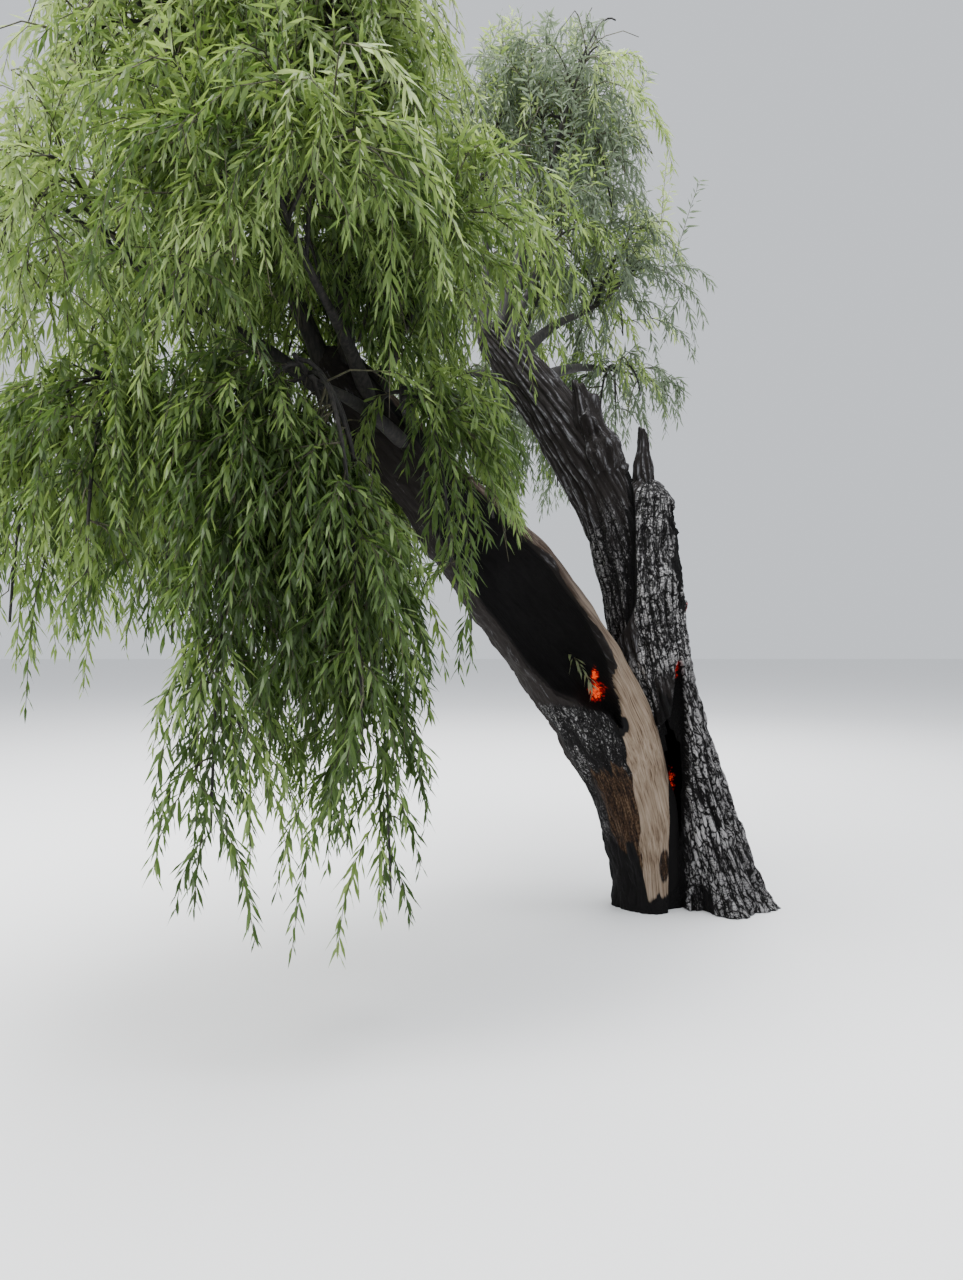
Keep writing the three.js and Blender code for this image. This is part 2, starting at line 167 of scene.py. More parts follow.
REAR_RADIUS = [(0, 0.13), (0.3, 0.16), (0.5, 0.165), (0.75, 0.14), (1, 0.112)]
HEART_RADIUS = [(0, 0.19), (0.6, 0.165), (1, 0.11)]
SPIKE_RADIUS = [(0, 0.062), (1, 0.015)]
STUB_RADIUS = [(0, 0.118), (1, 0.026)]

# Where the burnt wood departs from that: a fuller broken top, torn ends, and a deeper foot for the rear limb
BROKEN_TOP_RADIUS = RIGHT_RADIUS[:6] + [(0.88, 0.19), (0.95, 0.15), (1, 0.11)]
REAR_FOOT_RADIUS = [(-0.25, 0.17), (0, 0.185), (0.3, 0.165), (0.5, 0.165), (0.75, 0.14), (1, 0.1)]
TORN_SPIKE_RADIUS = [(0, 0.08), (0.5, 0.056), (0.85, 0.032), (1, 0.024)]
TORN_STUB_MIDDLE = middle_line((-0.444, 0.02, 2.2), (-0.64, 0.01, 2.815))
TORN_STUB_RADIUS = [(0, 0.07), (0.3, 0.122), (0.65, 0.078), (1, 0.035)]

# The rule by which the crown grows, as in the solids
BOUGH = {"seat": 0.6, "bow": 0.06, "tip_share": 0.5}
GAP = 0.0003
SPACE_MARGIN = 0.009
WOOD_MARGIN = 0.014
LOWEST_TIP = 0.17
ROUND = {"power": 2.5, "out": 0.62, "lift": 0.07, "aside": 1}
HANGING = {"power": 4, "out": 0.85, "lift": 0.015, "aside": 0.6}
HANGING_HEADROOM = 0.33
HANGING_HEART_DROP = 0.3
STEM = {"runs": 3, "tip_radius": 0.015, "past": 0.25, "rise": 0.06, "bend": 0.45}
BRANCH_RADIUS = (0.009, 0.005)
BRANCH = {
    "lowest": 0.3, "span": 0.66, "least": 0.72, "most": 0.94, "jitter": 0.8, "tries": 6, "shrink": 0.86,
}
BRANCH_CHECKS = (0.2, 0.35, 0.5, 0.65, 0.8, 1)

# Each crown has tiers of masses about an upright axis. A tier has the turn of each mass in degrees, how far
# out of the axis and over the hub it is carried, half its size, its count of branches, and its bough: the
# share of the limb where it leaves, its radius and how much of the way it goes. A hanging tier also has the
# drop of each mass. The solids don't have the rest: the depth of the ragged hems, how full of shoots each
# mass is, the share of shoots that rise, and the dome in which the crown closes.
CROWNS = [
    dict(
        name="left",
        limb=(LEFT_MIDDLE, LEFT_RADIUS),
        axis=place(-2.12, -1.03, 0),
        hub=2.72,
        seed=11,
        dome=dict(top=4.95, depth=1.85, radius=1.14, power=0.35),
        tiers=[
            dict(
                name="top", turns=[45, 135, 225, 315], reach=0.41, rise=1.18, half=(0.61, 0.61, 0.86),
                branches=6, bough=(0.965, 0.042, 0.5), fullness=[2.6, 2.3, 2.3, 2.6], rising=0.5,
            ),
            dict(
                name="side", turns=[0, 72, 144, 216, 288], reach=0.74, rise=0.38, half=(0.56, 0.56, 0.64),
                branches=5, bough=(0.92, 0.04, 0.5), fullness=[2.9, 2.9, 2.0, 2.0, 2.9], rising=0.16,
            ),
            dict(
                name="curtain", turns=[80, 148, 220, 297, 350], reach=0.64, rise=-0.26,
                half=(0.52, 0.52, 0.52), drops=[0.9, 1.0, 1.25, 2.2, 1.15], hems=[0.4, 0.4, 0.75, 0.6, 0.4],
                branches=6, bough=(0.86, 0.038, 0.8), fullness=[2.0, 1.4, 1.6, 2.2, 2.0], rising=0,
            ),
        ],
    ),
    dict(
        name="rear",
        limb=(REAR_MIDDLE, REAR_RADIUS),
        axis=place(-0.8, 1.16, 0),
        hub=3.28,
        seed=29,
        dome=dict(top=5.6, depth=0.85, radius=1.0, power=0.85),
        tiers=[
            dict(
                name="top", turns=[60, 180, 300], reach=0.33, rise=1.42, half=(0.6, 0.6, 0.9),
                branches=6, bough=(0.95, 0.042, 0.5), fullness=[1.8, 1.6, 1.7], rising=0.5,
            ),
            dict(
                name="side", turns=[0, 90, 180, 270], reach=0.54, rise=0.48, half=(0.48, 0.48, 0.64),
                branches=5, bough=(0.88, 0.04, 0.5), fullness=[1.7, 1.5, 1.5, 1.7], rising=0.16,
            ),
            dict(
                name="low", turns=[-12, 88, 188], reach=0.52, rise=-0.1, half=(0.47, 0.47, 0.52),
                drops=[0.44, 0.85, 0.85], hems=[0.3, 0.4, 0.4],
                branches=5, bough=(0.78, 0.036, 0.8), fullness=[1.4, 1.3, 1.3], rising=0,
            ),
        ],
    ),
]


def bough_curve(limb, tier, outward, carrier):
    """The bough that carries a mass leaves the limb on the side towards it and bows upward a little."""
    middle, radius = limb
    share, _, carried = tier["bough"]
    facing, aside = across(heading(middle, share))
    side = unit(facing * (outward @ facing) + aside * (outward @ aside))
    start = bezier(middle, share) + side * profile(radius, share) * BOUGH["seat"]
    tip = between(start, carrier, carried)
    return [start, between(start, tip, 0.5) + UP * BOUGH["bow"], tip]


class Mass:
    """A foliage mass: its space, parted from the others' by its heart and weight, its bough and branches."""

    def __init__(self, crown, tier, level, k):
        turn = math.radians(tier["turns"][k])
        outward = place(math.cos(turn), math.sin(turn), 0)
        carrier = crown["axis"] + outward * tier["reach"]
        carrier[2] = crown["hub"] + tier["rise"]
        self.crown, self.tier = crown, tier
        self.label = f"{crown['name']}_{tier['name']}_{k + 1}"
        self.seed = crown["seed"] * 1000 + level * 100 + k
        self.fullness = tier["fullness"][k]
        self.hangs = "drops" in tier
        self.habit = HANGING if self.hangs else ROUND
        self.bough = bough_curve(crown["limb"], tier, outward, carrier)
        self.half = np.array(tier["half"])
        self.weight = ((self.half[0] + self.half[2]) / 2) ** 2
        self.middle, self.heart = carrier.copy(), carrier.copy()
        if self.hangs:
            self.hem = tier["hems"][k]
            tip = self.bough[-1][2]
            top, bottom = tip + HANGING_HEADROOM, tip - tier["drops"][k]
            self.half[2] = (top - bottom) / 2
            self.middle[2] = (top + bottom) / 2
            self.heart[2] = tip - HANGING_HEART_DROP

    def bough_radius(self, share):
        radius = self.tier["bough"][1]
        return between(radius, radius * BOUGH["tip_share"], share)

    def stem_curve(self):
        """The stem goes on from the bough's tip towards the middle, or on a level if the mass hangs."""
        ahead = heading(self.bough, 1)
        start = self.bough[-1] + ahead * GAP
        goal = self.middle.copy()
        if self.hangs:
            goal[2] = start[2] + STEM["rise"]
        end = between(start, goal, 1 + STEM["past"])
        return [start, start + ahead * np.linalg.norm(end - start) * STEM["bend"], end]

    def holds(self, points, margin):
        """Whether places are all in the mass's own space."""
        points = np.atleast_2d(points)
        spread = (np.abs((points - self.middle) / self.half) ** self.habit["power"]).sum(axis=1)
        if spread.max() > 1 or points[:, 2].min() < LOWEST_TIP:
            return False
        mine = ((points - self.heart) ** 2).sum(axis=1) - self.weight
        for other in masses:
            if other is not self:
                theirs = ((points - other.heart) ** 2).sum(axis=1) - other.weight
                if (theirs - mine).min() <= 2 * margin * np.linalg.norm(other.heart - self.heart):
                    return False
        return True

    def goal_way(self, step, i, draw):
        """The way from the middle to a branch's goal, on the edge of the mass."""
        height = -step if self.hangs else 1 - 2 * step
        power = self.habit["power"]
        ring = (1 - abs(height) ** power) ** (1 / power)
        angle = i * GOLDEN_ANGLE + draw() * BRANCH["jitter"]
        return place(ring * math.cos(angle), ring * math.sin(angle), height) * self.half

    def branch_curves(self, stem):
        """A branch leaves the stem, rises over its goal and droops to it."""
        draw = random_from(self.seed)
        count = self.tier["branches"]
        found = []
        for i in range(count):
            step = (i + 0.5) / count
            way = self.goal_way(step, i, draw)
            share = between(BRANCH["least"], BRANCH["most"], draw())
            start = on_runs(stem, STEM["runs"], BRANCH["lowest"] + BRANCH["span"] * step)
            for attempt in range(BRANCH["tries"]):
                goal = self.middle + way * share * BRANCH["shrink"] ** attempt
                bend = between(start, goal, self.habit["out"])
                bend[2] = max(start[2], goal[2]) + self.habit["lift"]
                curve = [start, bend, goal]
                fits = self.holds(curve, SPACE_MARGIN + BRANCH_RADIUS[0])
                if fits and not touches_wood(bezier(curve, BRANCH_CHECKS), WOOD_MARGIN + BRANCH_RADIUS[0]):
                    found.append(curve)
                    break
        return found


def on_runs(curve, runs, share):
    """A place on a curve that is drawn in a few straight runs."""
    run = min(runs - 1, int(share * runs))
    start, end = bezier(curve, run / runs), bezier(curve, (run + 1) / runs)
    return between(start, end, share * runs - run)


masses = [
    Mass(crown, tier, level, k)
    for crown in CROWNS
    for level, tier in enumerate(crown["tiers"])
    for k in range(len(tier["turns"]))
]

LIMB_BALLS, BROKEN_END_BALLS, BOUGH_BALLS = 61, 13, 17


def wood_balls():
    """Balls along all the wood, which no twig or leaf may touch: their middles and radii."""
    limbs = [(LEFT_MIDDLE, LEFT_RADIUS), (RIGHT_MIDDLE, RIGHT_RADIUS), (REAR_MIDDLE, REAR_RADIUS)]
    broken_ends = [(SPIKE_MIDDLE, SPIKE_RADIUS), (STUB_MIDDLE, STUB_RADIUS)]
    middles, radii = [], []
    for lines, count in ((limbs, LIMB_BALLS), (broken_ends, BROKEN_END_BALLS)):
        shares = np.linspace(0, 1, count)
        middles += [bezier(middle, shares) for middle, _ in lines]
        radii += [profile(radius, shares) for _, radius in lines]
    shares = np.linspace(0, 1, BOUGH_BALLS)
    middles += [bezier(mass.bough, shares) for mass in masses]
    radii += [mass.bough_radius(shares) for mass in masses]
    return np.concatenate(middles), np.concatenate(radii)


ball_middles, ball_radii = wood_balls()


def touches_wood(points, reach):
    apart = np.linalg.norm(ball_middles[None] - np.atleast_2d(points)[:, None], axis=2)
    return bool((apart < ball_radii + reach).any())


# Meshes


def add_object(name, data):
    made = bpy.data.objects.new(name, data)
    bpy.context.scene.collection.objects.link(made)
    return made


class Part:
    """Places, faces and masks that are gathered from several shapes and become one piece."""

    def __init__(self):
        self.places, self.faces, self.finishes, self.masks = [], [], [], []
        self.count = 0

    def add(self, places, face_groups, finish=0, masks=None):
        """Add a shape. Its finish is a number in the piece's list of finishes, or one for each face."""
        places = np.asarray(places, float).reshape(-1, 3)
        self.places.append(places)
        self.masks.append(masks or {})
        for group in face_groups:
            self.faces.append(np.asarray(group) + self.count)
            self.finishes.append(np.broadcast_to(finish, len(group)))
        self.count += len(places)

    def make(self, name, finishes, slot, nodes, smooth=True):
        """Make the piece, which rides on the tree's one body and stands for the nodes named."""
        places = np.concatenate(self.places)
        corners = np.concatenate([group.ravel() for group in self.faces])
        sizes = np.concatenate([np.full(len(group), group.shape[1]) for group in self.faces])
        mesh = bpy.data.meshes.new(name)
        mesh.vertices.add(len(places))
        mesh.vertices.foreach_set("co", places.ravel())
        mesh.loops.add(len(corners))
        mesh.loops.foreach_set("vertex_index", corners.astype(np.int32))
        mesh.polygons.add(len(sizes))
        mesh.polygons.foreach_set("loop_start", (np.cumsum(sizes) - sizes).astype(np.int32))
        mesh.polygons.foreach_set("use_smooth", np.full(len(sizes), smooth))
        mesh.polygons.foreach_set("material_index", np.concatenate(self.finishes).astype(np.int32))
        for finish in finishes:
            mesh.materials.append(finish)
        self.write_masks(mesh)
        mesh.update(calc_edges=True)
        piece = add_object(name, mesh)
        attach(piece, "root")
        if nodes:
            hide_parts(*nodes)

    def write_masks(self, mesh):
        for name in sorted({name for masks in self.masks for name in masks}):
            parts = [masks.get(name, np.zeros(len(at))) for at, masks in zip(self.places, self.masks)]
            values = np.concatenate(parts).astype(np.float32)
            is_vector = name == "grain"
            layer = mesh.attributes.new(name, "FLOAT_VECTOR" if is_vector else "FLOAT", "POINT")
            layer.data.foreach_set("vector" if is_vector else "value", values.ravel())


def grid_faces(rows, columns, count=1):
    """The quads of a tube of rows of columns and the faces that close its ends, for several tubes alike."""
    row, column = np.meshgrid(np.arange(rows - 1), np.arange(columns), indexing="ij")
    here, after = row * columns + column, row * columns + (column + 1) % columns
    quads = np.stack([here, after, after + columns, here + columns], axis=-1).reshape(-1, 4)
    last = (rows - 1) * columns
    ends = np.array([np.arange(columns)[::-1], last + np.arange(columns)])
    starts = (np.arange(count) * rows * columns)[:, None, None]
    return (quads + starts).reshape(-1, 4), (ends + starts).reshape(-1, columns)


def tubes(lines, radii, sides):
    """Closed tubes along lines of places, all with as many places. Returns their places and faces."""
    lines = np.asarray(lines, float)
    count, rows = lines.shape[:2]
    tangents = unit(np.gradient(lines, axis=1))
    least = np.abs(unit(lines[:, -1] - lines[:, 0])).argmin(axis=1)
    facing, aside = across(tangents, np.eye(3)[least][:, None])
    angles = np.arange(sides) * 2 * math.pi / sides
    ring = facing[:, :, None] * np.cos(angles)[:, None] - aside[:, :, None] * np.sin(angles)[:, None]
    places = lines[:, :, None] + ring * np.broadcast_to(radii, (count, rows))[:, :, None, None]
    return places.reshape(-1, 3), grid_faces(rows, sides, count)


# Materials


class Value:
    """A socket of a material. Sums on it add Math nodes."""

    def __init__(self, paint, socket):
        self.paint = paint
        self.socket = socket

    def __add__(self, other):
        return self.paint.math("ADD", self, other)

    def __sub__(self, other):
        return self.paint.math("SUBTRACT", self, other)

    def __rsub__(self, other):
        return self.paint.math("SUBTRACT", other, self)

    def __mul__(self, other):
        return self.paint.math("MULTIPLY", self, other)

    __radd__ = __add__
    __rmul__ = __mul__


class Paint:
    """A material in the making."""

    def __init__(self, name, roughness=0.9):
        self.material = bpy.data.materials.new(name)
        self.material.use_nodes = True
        self.tree = self.material.node_tree
        self.shader = self.tree.nodes["Principled BSDF"]
        self.feed("Roughness", roughness)

    def node(self, kind, settings=None, sockets=None, output=0):
        """A node of any kind. Its settings come first, with a ramp's stops among them, then its sockets."""
        made = self.tree.nodes.new(kind)
        for name, setting in (settings or {}).items():
            if name == "stops":
                set_stops(made.color_ramp.elements, setting)
            else:
                setattr(made, name, setting)
        for name, value in (sockets or {}).items():
            self.put(made.inputs[name], value)
        return Value(self, made.outputs[output])

    def put(self, socket, value):
        if isinstance(value, Value):
            self.tree.links.new(value.socket, socket)
        else:
            socket.default_value = value

    def feed(self, name, value):
        """Set or link one of the shader's own sockets."""
        self.put(self.shader.inputs[name], value)

    def mask(self, name):
        return self.node("ShaderNodeAttribute", {"attribute_name": name}, output="Fac")

    def grain(self, *scales):
        """The straightened limb's coordinates, scaled across and along the grain."""
        vector = self.node("ShaderNodeAttribute", {"attribute_name": "grain"}, output="Vector")
        return self.vector("MULTIPLY", vector, scales)

    def where(self, *scales):
        """The piece's own coordinates, scaled."""
        return self.vector("MULTIPLY", self.node("ShaderNodeTexCoord", output="Object"), scales)

    def noise(self, vector, detail=2.0, roughness=0.6, output=0):
        sockets = {"Vector": vector, "Scale": 1.0, "Detail": detail, "Roughness": roughness}
        return self.node("ShaderNodeTexNoise", sockets=sockets, output=output)

    def blocks(self, vector, soft):
        """0 in the cracks between blocks that stand along and across the grain, and 1 on them."""
        sockets = {"Vector": vector, "Scale": 1.0, "Randomness": 0.85}
        nearest, next_nearest = (
            self.node("ShaderNodeTexVoronoi", {"distance": "CHEBYCHEV", "feature": feature}, sockets)
            for feature in ("F1", "F2")
        )
        return self.step(next_nearest - nearest, 0.02, soft)

    def ramp(self, value, *stops):
        return self.node("ShaderNodeValToRGB", {"stops": stops}, {"Fac": value})

    def math(self, operation, *values):
        return self.node("ShaderNodeMath", {"operation": operation}, dict(enumerate(values)))

    def vector(self, operation, *values):
        return self.node("ShaderNodeVectorMath", {"operation": operation}, dict(enumerate(values)))

    def step(self, value, low, high):
        """0 below low and 1 above high, smooth between."""
        sockets = {"Value": value, "From Min": low, "From Max": high}
        return self.node("ShaderNodeMapRange", {"interpolation_type": "SMOOTHSTEP"}, sockets)

    def blend(self, low, high, share):
        """Two colours mixed by a share."""
        return self.node("ShaderNodeMix", {"data_type": "RGBA"}, {0: share, 6: low, 7: high}, output=2)

    def bump(self, height, distance):
        return self.node("ShaderNodeBump", sockets={"Height": height, "Distance": distance, "Strength": 1.0})


def set_stops(elements, stops):
    while len(elements) < len(stops):
        elements.new(0.5)
    for element, (position, color) in zip(elements, stops):
        element.position = position
        element.color = color


CHAR = (0.005, 0.0045, 0.0045, 1)
CHAR_GREY = (0.085, 0.08, 0.081, 1)
ASH = (0.56, 0.545, 0.54, 1)
DARK_BARK = (0.017, 0.014, 0.013, 1)
# The ridges' grey is partly the bark's own grey and partly a painted highlight on the crests.
RIDGE_GREY_HIGHLIGHT = (0.17, 0.168, 0.178, 1)
BARE_DARK = (0.065, 0.038, 0.022, 1)
BARE_WOOD = (0.165, 0.12, 0.082, 1)
BARE_LIGHT = (0.28, 0.22, 0.165, 1)
WEATHERED = (0.05, 0.036, 0.028, 1)
WEATHERED_LIGHT = (0.15, 0.115, 0.09, 1)
ROTTEN_DARK = (0.007, 0.004, 0.003, 1)
ROTTEN = (0.035, 0.018, 0.009, 1)
ROTTEN_TAN = (0.115, 0.072, 0.04, 1)
NO_GLOW = (0, 0, 0, 1)
EMBER_RED = (0.42, 0.005, 0.001, 1)
EMBER_ORANGE = (1.0, 0.085, 0.006, 1)
RUNG_SPACING = 0.0125


def burnt_wood(name, has_bare_wood=False, has_rungs=False, glows=False):
    """Furrowed bark and charred checks under ash, by their masks. Bare wood, rungs and embers on request."""
    paint = Paint(name)
    paint.feed("Specular IOR Level", 0.18)
    ridge, char = paint.mask("ridge"), paint.mask("char")
    patches = paint.noise(paint.grain(11, 11, 5))
    furrow = paint.noise(paint.grain(75, 75, 9), detail=3.0)
    grit = paint.noise(paint.grain(150, 150, 70))
    plates, checks = charred_checks(paint, has_rungs)
    crack = plates * checks
    ash = crack * paint.step(patches + grit * 1.1 + ridge * 0.3, 1.05, 1.4) * paint.mask("ash")
    # The lit crests: grey bark with a painted highlight, broken up by the plates.
    lit = paint.step(furrow * 1.3 + ridge * 0.36 + grit * 0.2, 0.97, 1.32) * (plates * 0.75 + 0.25)
    bark = paint.blend(DARK_BARK, RIDGE_GREY_HIGHLIGHT, lit)
    charred = paint.blend(CHAR, CHAR_GREY, crack * paint.step(grit + ridge * 0.3, 0.5, 0.8))
    charred = paint.blend(charred, ASH, ash)
    wood = paint.blend(bark, charred, paint.step(char + patches * 0.9, 0.75, 1.15))
    relief = crack * char * 0.5 + furrow * 0.6
    if has_bare_wood:
        wood, edge = bare_wood(paint, wood, patches, grit)
        relief = relief * (1 - edge)
    # Black by the soot mask: soot, and painted shade in the hollow, the cleft, the gaps between limbs, the
    # root notch and the knot hole.
    soot = paint.step(paint.mask("soot") + patches * 0.35, 0.5, 0.8)
    paint.feed("Base Color", paint.blend(wood, CHAR, soot))
    if glows:
        light_embers(paint, checks)
    paint.feed("Normal", paint.bump(relief, 0.012))
    return paint.material


def light_embers(paint, checks):
    """Let the checks glow by the ember mask, broken up by cooler spots."""
    cooler = paint.noise(paint.grain(50, 50, 40), detail=1.0)
    glow = paint.step(paint.mask("ember") * (checks * 0.6 + 0.6) - cooler * 0.8, -0.08, 0.4)
    paint.feed("Emission Color", paint.ramp(glow, (0, NO_GLOW), (0.5, EMBER_RED), (1, EMBER_ORANGE)))
    paint.feed("Emission Strength", 1.1)


def bare_wood(paint, wood, patches, grit):
    """Rotten wood and then bare wood over another, and where the bare wood is."""
    streak = paint.noise(paint.grain(110, 110, 2.6), detail=4.0, roughness=0.7)
    rotten = paint.ramp(streak + grit * 0.5, (0.66, ROTTEN_DARK), (0.78, ROTTEN), (0.95, ROTTEN_TAN))
    decay = paint.step(paint.mask("rotten") + patches * 1.2 + streak * 0.5, 1.2, 1.65)
    wood = paint.blend(wood, rotten, decay)
    stain = streak * 0.7 + patches * 0.3
    fresh = paint.ramp(stain, (0.36, BARE_DARK), (0.46, BARE_WOOD), (0.6, BARE_LIGHT))
    old = paint.ramp(stain, (0.36, ROTTEN), (0.47, WEATHERED), (0.62, WEATHERED_LIGHT))
    edge = paint.step(paint.mask("bare") + stain * 0.5, 0.66, 0.82)
    return paint.blend(wood, paint.blend(fresh, old, paint.mask("weathered")), edge), edge


def charred_checks(paint, has_rungs):
    """Two patterns, 0 in cracks: plates along the grain, and the checks or rungs that break them up."""
    drift = paint.noise(paint.grain(26, 26, 14), detail=0.0, roughness=0.5, output=1)
    drift = paint.vector("MULTIPLY", drift, (1.1, 1.1, 0.6))
    plates = paint.blocks(paint.vector("ADD", paint.grain(50, 50, 12), drift), 0.22)
    checks = paint.blocks(paint.vector("ADD", paint.grain(58, 58, 74), drift), 0.3) * 0.75 + 0.25
    if has_rungs:
        low = paint.mask("ladder")
        checks = ladder_rungs(paint) * low + checks * (1 - low)
    return plates, checks


def ladder_rungs(paint):
    """Fine cracks across the grain, one above the other like the rungs of a ladder, in some places."""
    slow = paint.noise(paint.grain(22, 22, 2.5), detail=1.0)
    fast = paint.noise(paint.grain(60, 60, 60), detail=1.0)
    grain = paint.grain(1, 1, math.pi / RUNG_SPACING)
    along = paint.node("ShaderNodeSeparateXYZ", sockets={0: grain}, output=2)
    wave = paint.math("SINE", along + (slow * 9 + fast * 2.2))
    rungs = paint.step(paint.math("ABSOLUTE", wave), 0.1, 0.5)
    laddered = paint.step(paint.noise(paint.grain(13, 13, 3.5), detail=1.0), 0.42, 0.6)
    return 1 - laddered * (1 - rungs) * 0.8


def young_bark(name, dark, light):
    """Fine lengthwise cracks and paler patches."""
    paint = Paint(name, roughness=0.8)
    fine = paint.noise(paint.where(60, 60, 18))
    paint.feed("Base Color", paint.blend(dark, light, paint.step(fine, 0.35, 0.7)))
    paint.feed("Normal", paint.bump(fine, 0.002))
    return paint.material


def leaf_green(name, color, through):
    """A leaf lets some light through. Its green varies a little from place to place."""
    paint = Paint(name, roughness=0.5)
    drift = paint.noise(paint.where(9, 9, 9))
    darker = tuple(0.8 * part for part in color[:3]) + (1,)
    paint.feed("Base Color", paint.blend(darker, color, paint.step(drift, 0.35, 0.65)))
    paint.feed("Specular IOR Level", 0.35)
    glow = paint.node("ShaderNodeBsdfTranslucent", sockets={"Color": through})
    surface = Value(paint, paint.shader.outputs[0])
    mixed = paint.node("ShaderNodeMixShader", sockets={0: 0.35, 1: surface, 2: glow})
    paint.put(paint.tree.nodes["Material Output"].inputs["Surface"], mixed)
    return paint.material


# The relief of the main limbs


class Skin:
    """The surface of a limb as a grid of rows along it and columns round it.

    While it is carved, front and left are its places across the limb, and angle is in degrees: 0 to the
    front, 90 to the left in front view. grain holds the straightened limb's coordinates for its patterns.
    """

    UPRIGHT_BELOW = 0.35
    FLARE_HEIGHT = 0.17
    FLARE_LOBES = 0.5

    def __init__(self, middle, radius, rows, columns, start=0.0, crowd=0.0, flare=0.0, lobes=1, dome=0.04):
        fine = np.linspace(start, 1, 401)
        steps = np.linalg.norm(np.diff(bezier(middle, fine), axis=0), axis=1)
        along = np.concatenate([[0], np.cumsum(steps)])
        self.length = between(0, along[-1], np.linspace(0, 1, rows))[:, None]
        self.share = np.interp(self.length[:, 0], along, fine)[:, None]
        turn = np.arange(columns) * 2 * math.pi / columns
        self.turn = (turn - crowd * np.sin(turn))[None]
        self.angle = np.degrees((self.turn + math.pi) % (2 * math.pi) - math.pi)
        self.middle = bezier(middle, self.share[:, 0])
        self.height = self.middle[:, 2:3]
        upright = fall(self.height, 0, self.UPRIGHT_BELOW)
        tangent = unit(between(heading(middle, self.share[:, 0]), UP, upright))
        self.facing, self.aside = across(tangent)
        lobe = 1 + self.FLARE_LOBES * np.cos(lobes * self.turn)
        spread = flare * np.exp(-np.maximum(self.height, 0) / self.FLARE_HEIGHT) * lobe
        closing = np.clip((1 - self.share) / dome, 0, 1)
        self.radius = profile(radius, self.share) * (1 + spread) * np.sqrt(1 - (1 - closing) ** 2 * 0.98)
        self.front = self.radius * np.cos(self.turn)
        self.left = self.radius * np.sin(self.turn)
        self.grain = np.stack(np.broadcast_arrays(self.front, self.left, self.length), axis=-1)
        self.masks = {"grain": self.grain}

    def raise_by(self, amount):
        """Move the surface outward."""
        self.front = self.front + amount * np.cos(self.turn)
        self.left = self.left + amount * np.sin(self.turn)

    def pattern(self, size, octaves=3):
        """Smooth noise from about -1 to 1. The size is that of its lumps, one number or three."""
        scaled = (self.grain.reshape(-1, 3) / size).tolist()
        values = [noise.fractal(at, 1.0, 2.0, octaves) for at in scaled]
        return np.array(values).reshape(self.front.shape)

    def plates(self, size, most):
        """Plates of a size with cracks between them: from 0 in a crack up to the most."""
        scaled = (self.grain.reshape(-1, 3) / size).tolist()
        near = np.array([noise.voronoi(at)[0][:2] for at in scaled])
        return np.minimum((near[:, 1] - near[:, 0]).reshape(self.front.shape), most)

    def columns(self, count, wander):
        """Ridges round the limb that wander as they rise: 1 on a ridge and 0 in the groove beside it."""
        drift = wander * self.pattern((0.25, 0.25, 0.7), 2)
        return np.abs(np.cos(math.pi * (count * self.turn / (2 * math.pi) + drift)))

    def places(self):
        across_it = self.front[..., None] * self.facing[:, None] + self.left[..., None] * self.aside[:, None]
        return self.middle[:, None] + across_it

    def set_masks(self, **masks):
        for name, values in masks.items():
            self.masks[name] = np.clip(np.broadcast_to(values, self.front.shape), 0, 1)

    def add_to(self, part, places):
        """Close the grid's ends round and add it to a part."""
        rows, columns = self.front.shape
        quads, _ = grid_faces(rows, columns)
        ends = places[[0, -1]].mean(axis=1)
        ring, after = np.arange(columns), (np.arange(columns) + 1) % columns
        last, first_end = (rows - 1) * columns, rows * columns
        fans = [np.stack([after, ring, np.full(columns, first_end)], axis=1)]
        fans.append(np.stack([last + ring, last + after, np.full(columns, first_end + 1)], axis=1))
        masks = {}
        for name, values in self.masks.items():
            width = values.shape[2:]
            closing = values[[0, -1]].mean(axis=1)
            masks[name] = np.concatenate([values.reshape(-1, *width), closing.reshape(-1, *width)])
        part.add(np.concatenate([places.reshape(-1, 3), ends]), [quads, *fans], masks=masks)


# The right edge of the left stem and the left edge of the right one, where they face the cleft, by height
CLEFT_LEFT = [(0, -0.172), (0.9, -0.166), (1.25, -0.135), (1.36, -0.112)]
CLEFT_RIGHT = [(0, -0.07), (0.9, -0.075), (1.25, -0.09), (1.36, -0.112)]
CLEFT_CLOSED = 1.36
CLEFT_TOP = 1.34
CLEFT_DEEPEST = -0.07


def cleft_edge(stations, z):
    return profile(stations, np.clip(z, 0, CLEFT_CLOSED))


# The bare wood on the left stem, by angles at shares of the limb: its left edge, which goes on as the rim of
# the hollow, and its back. Then the hollow's left lip, and its depth.
BARE_EDGE = [
    (0, 14), (0.12, 14), (0.2, 4), (0.27, -5), (0.335, -12), (0.4, -25), (0.46, -42), (0.55, -50), (1, -55),
]
BARE_BACK = -118
LIP = [
    (0.3, -24), (0.36, -8), (0.41, 18), (0.46, 38), (0.52, 46),
    (0.66, 46), (0.76, 40), (0.86, -30), (1, -60),
]
DEPTH = [(0.3, 0), (0.36, 0.1), (0.42, 0.23), (0.5, 0.31), (0.7, 0.25), (0.8, 0.1), (0.86, 0)]

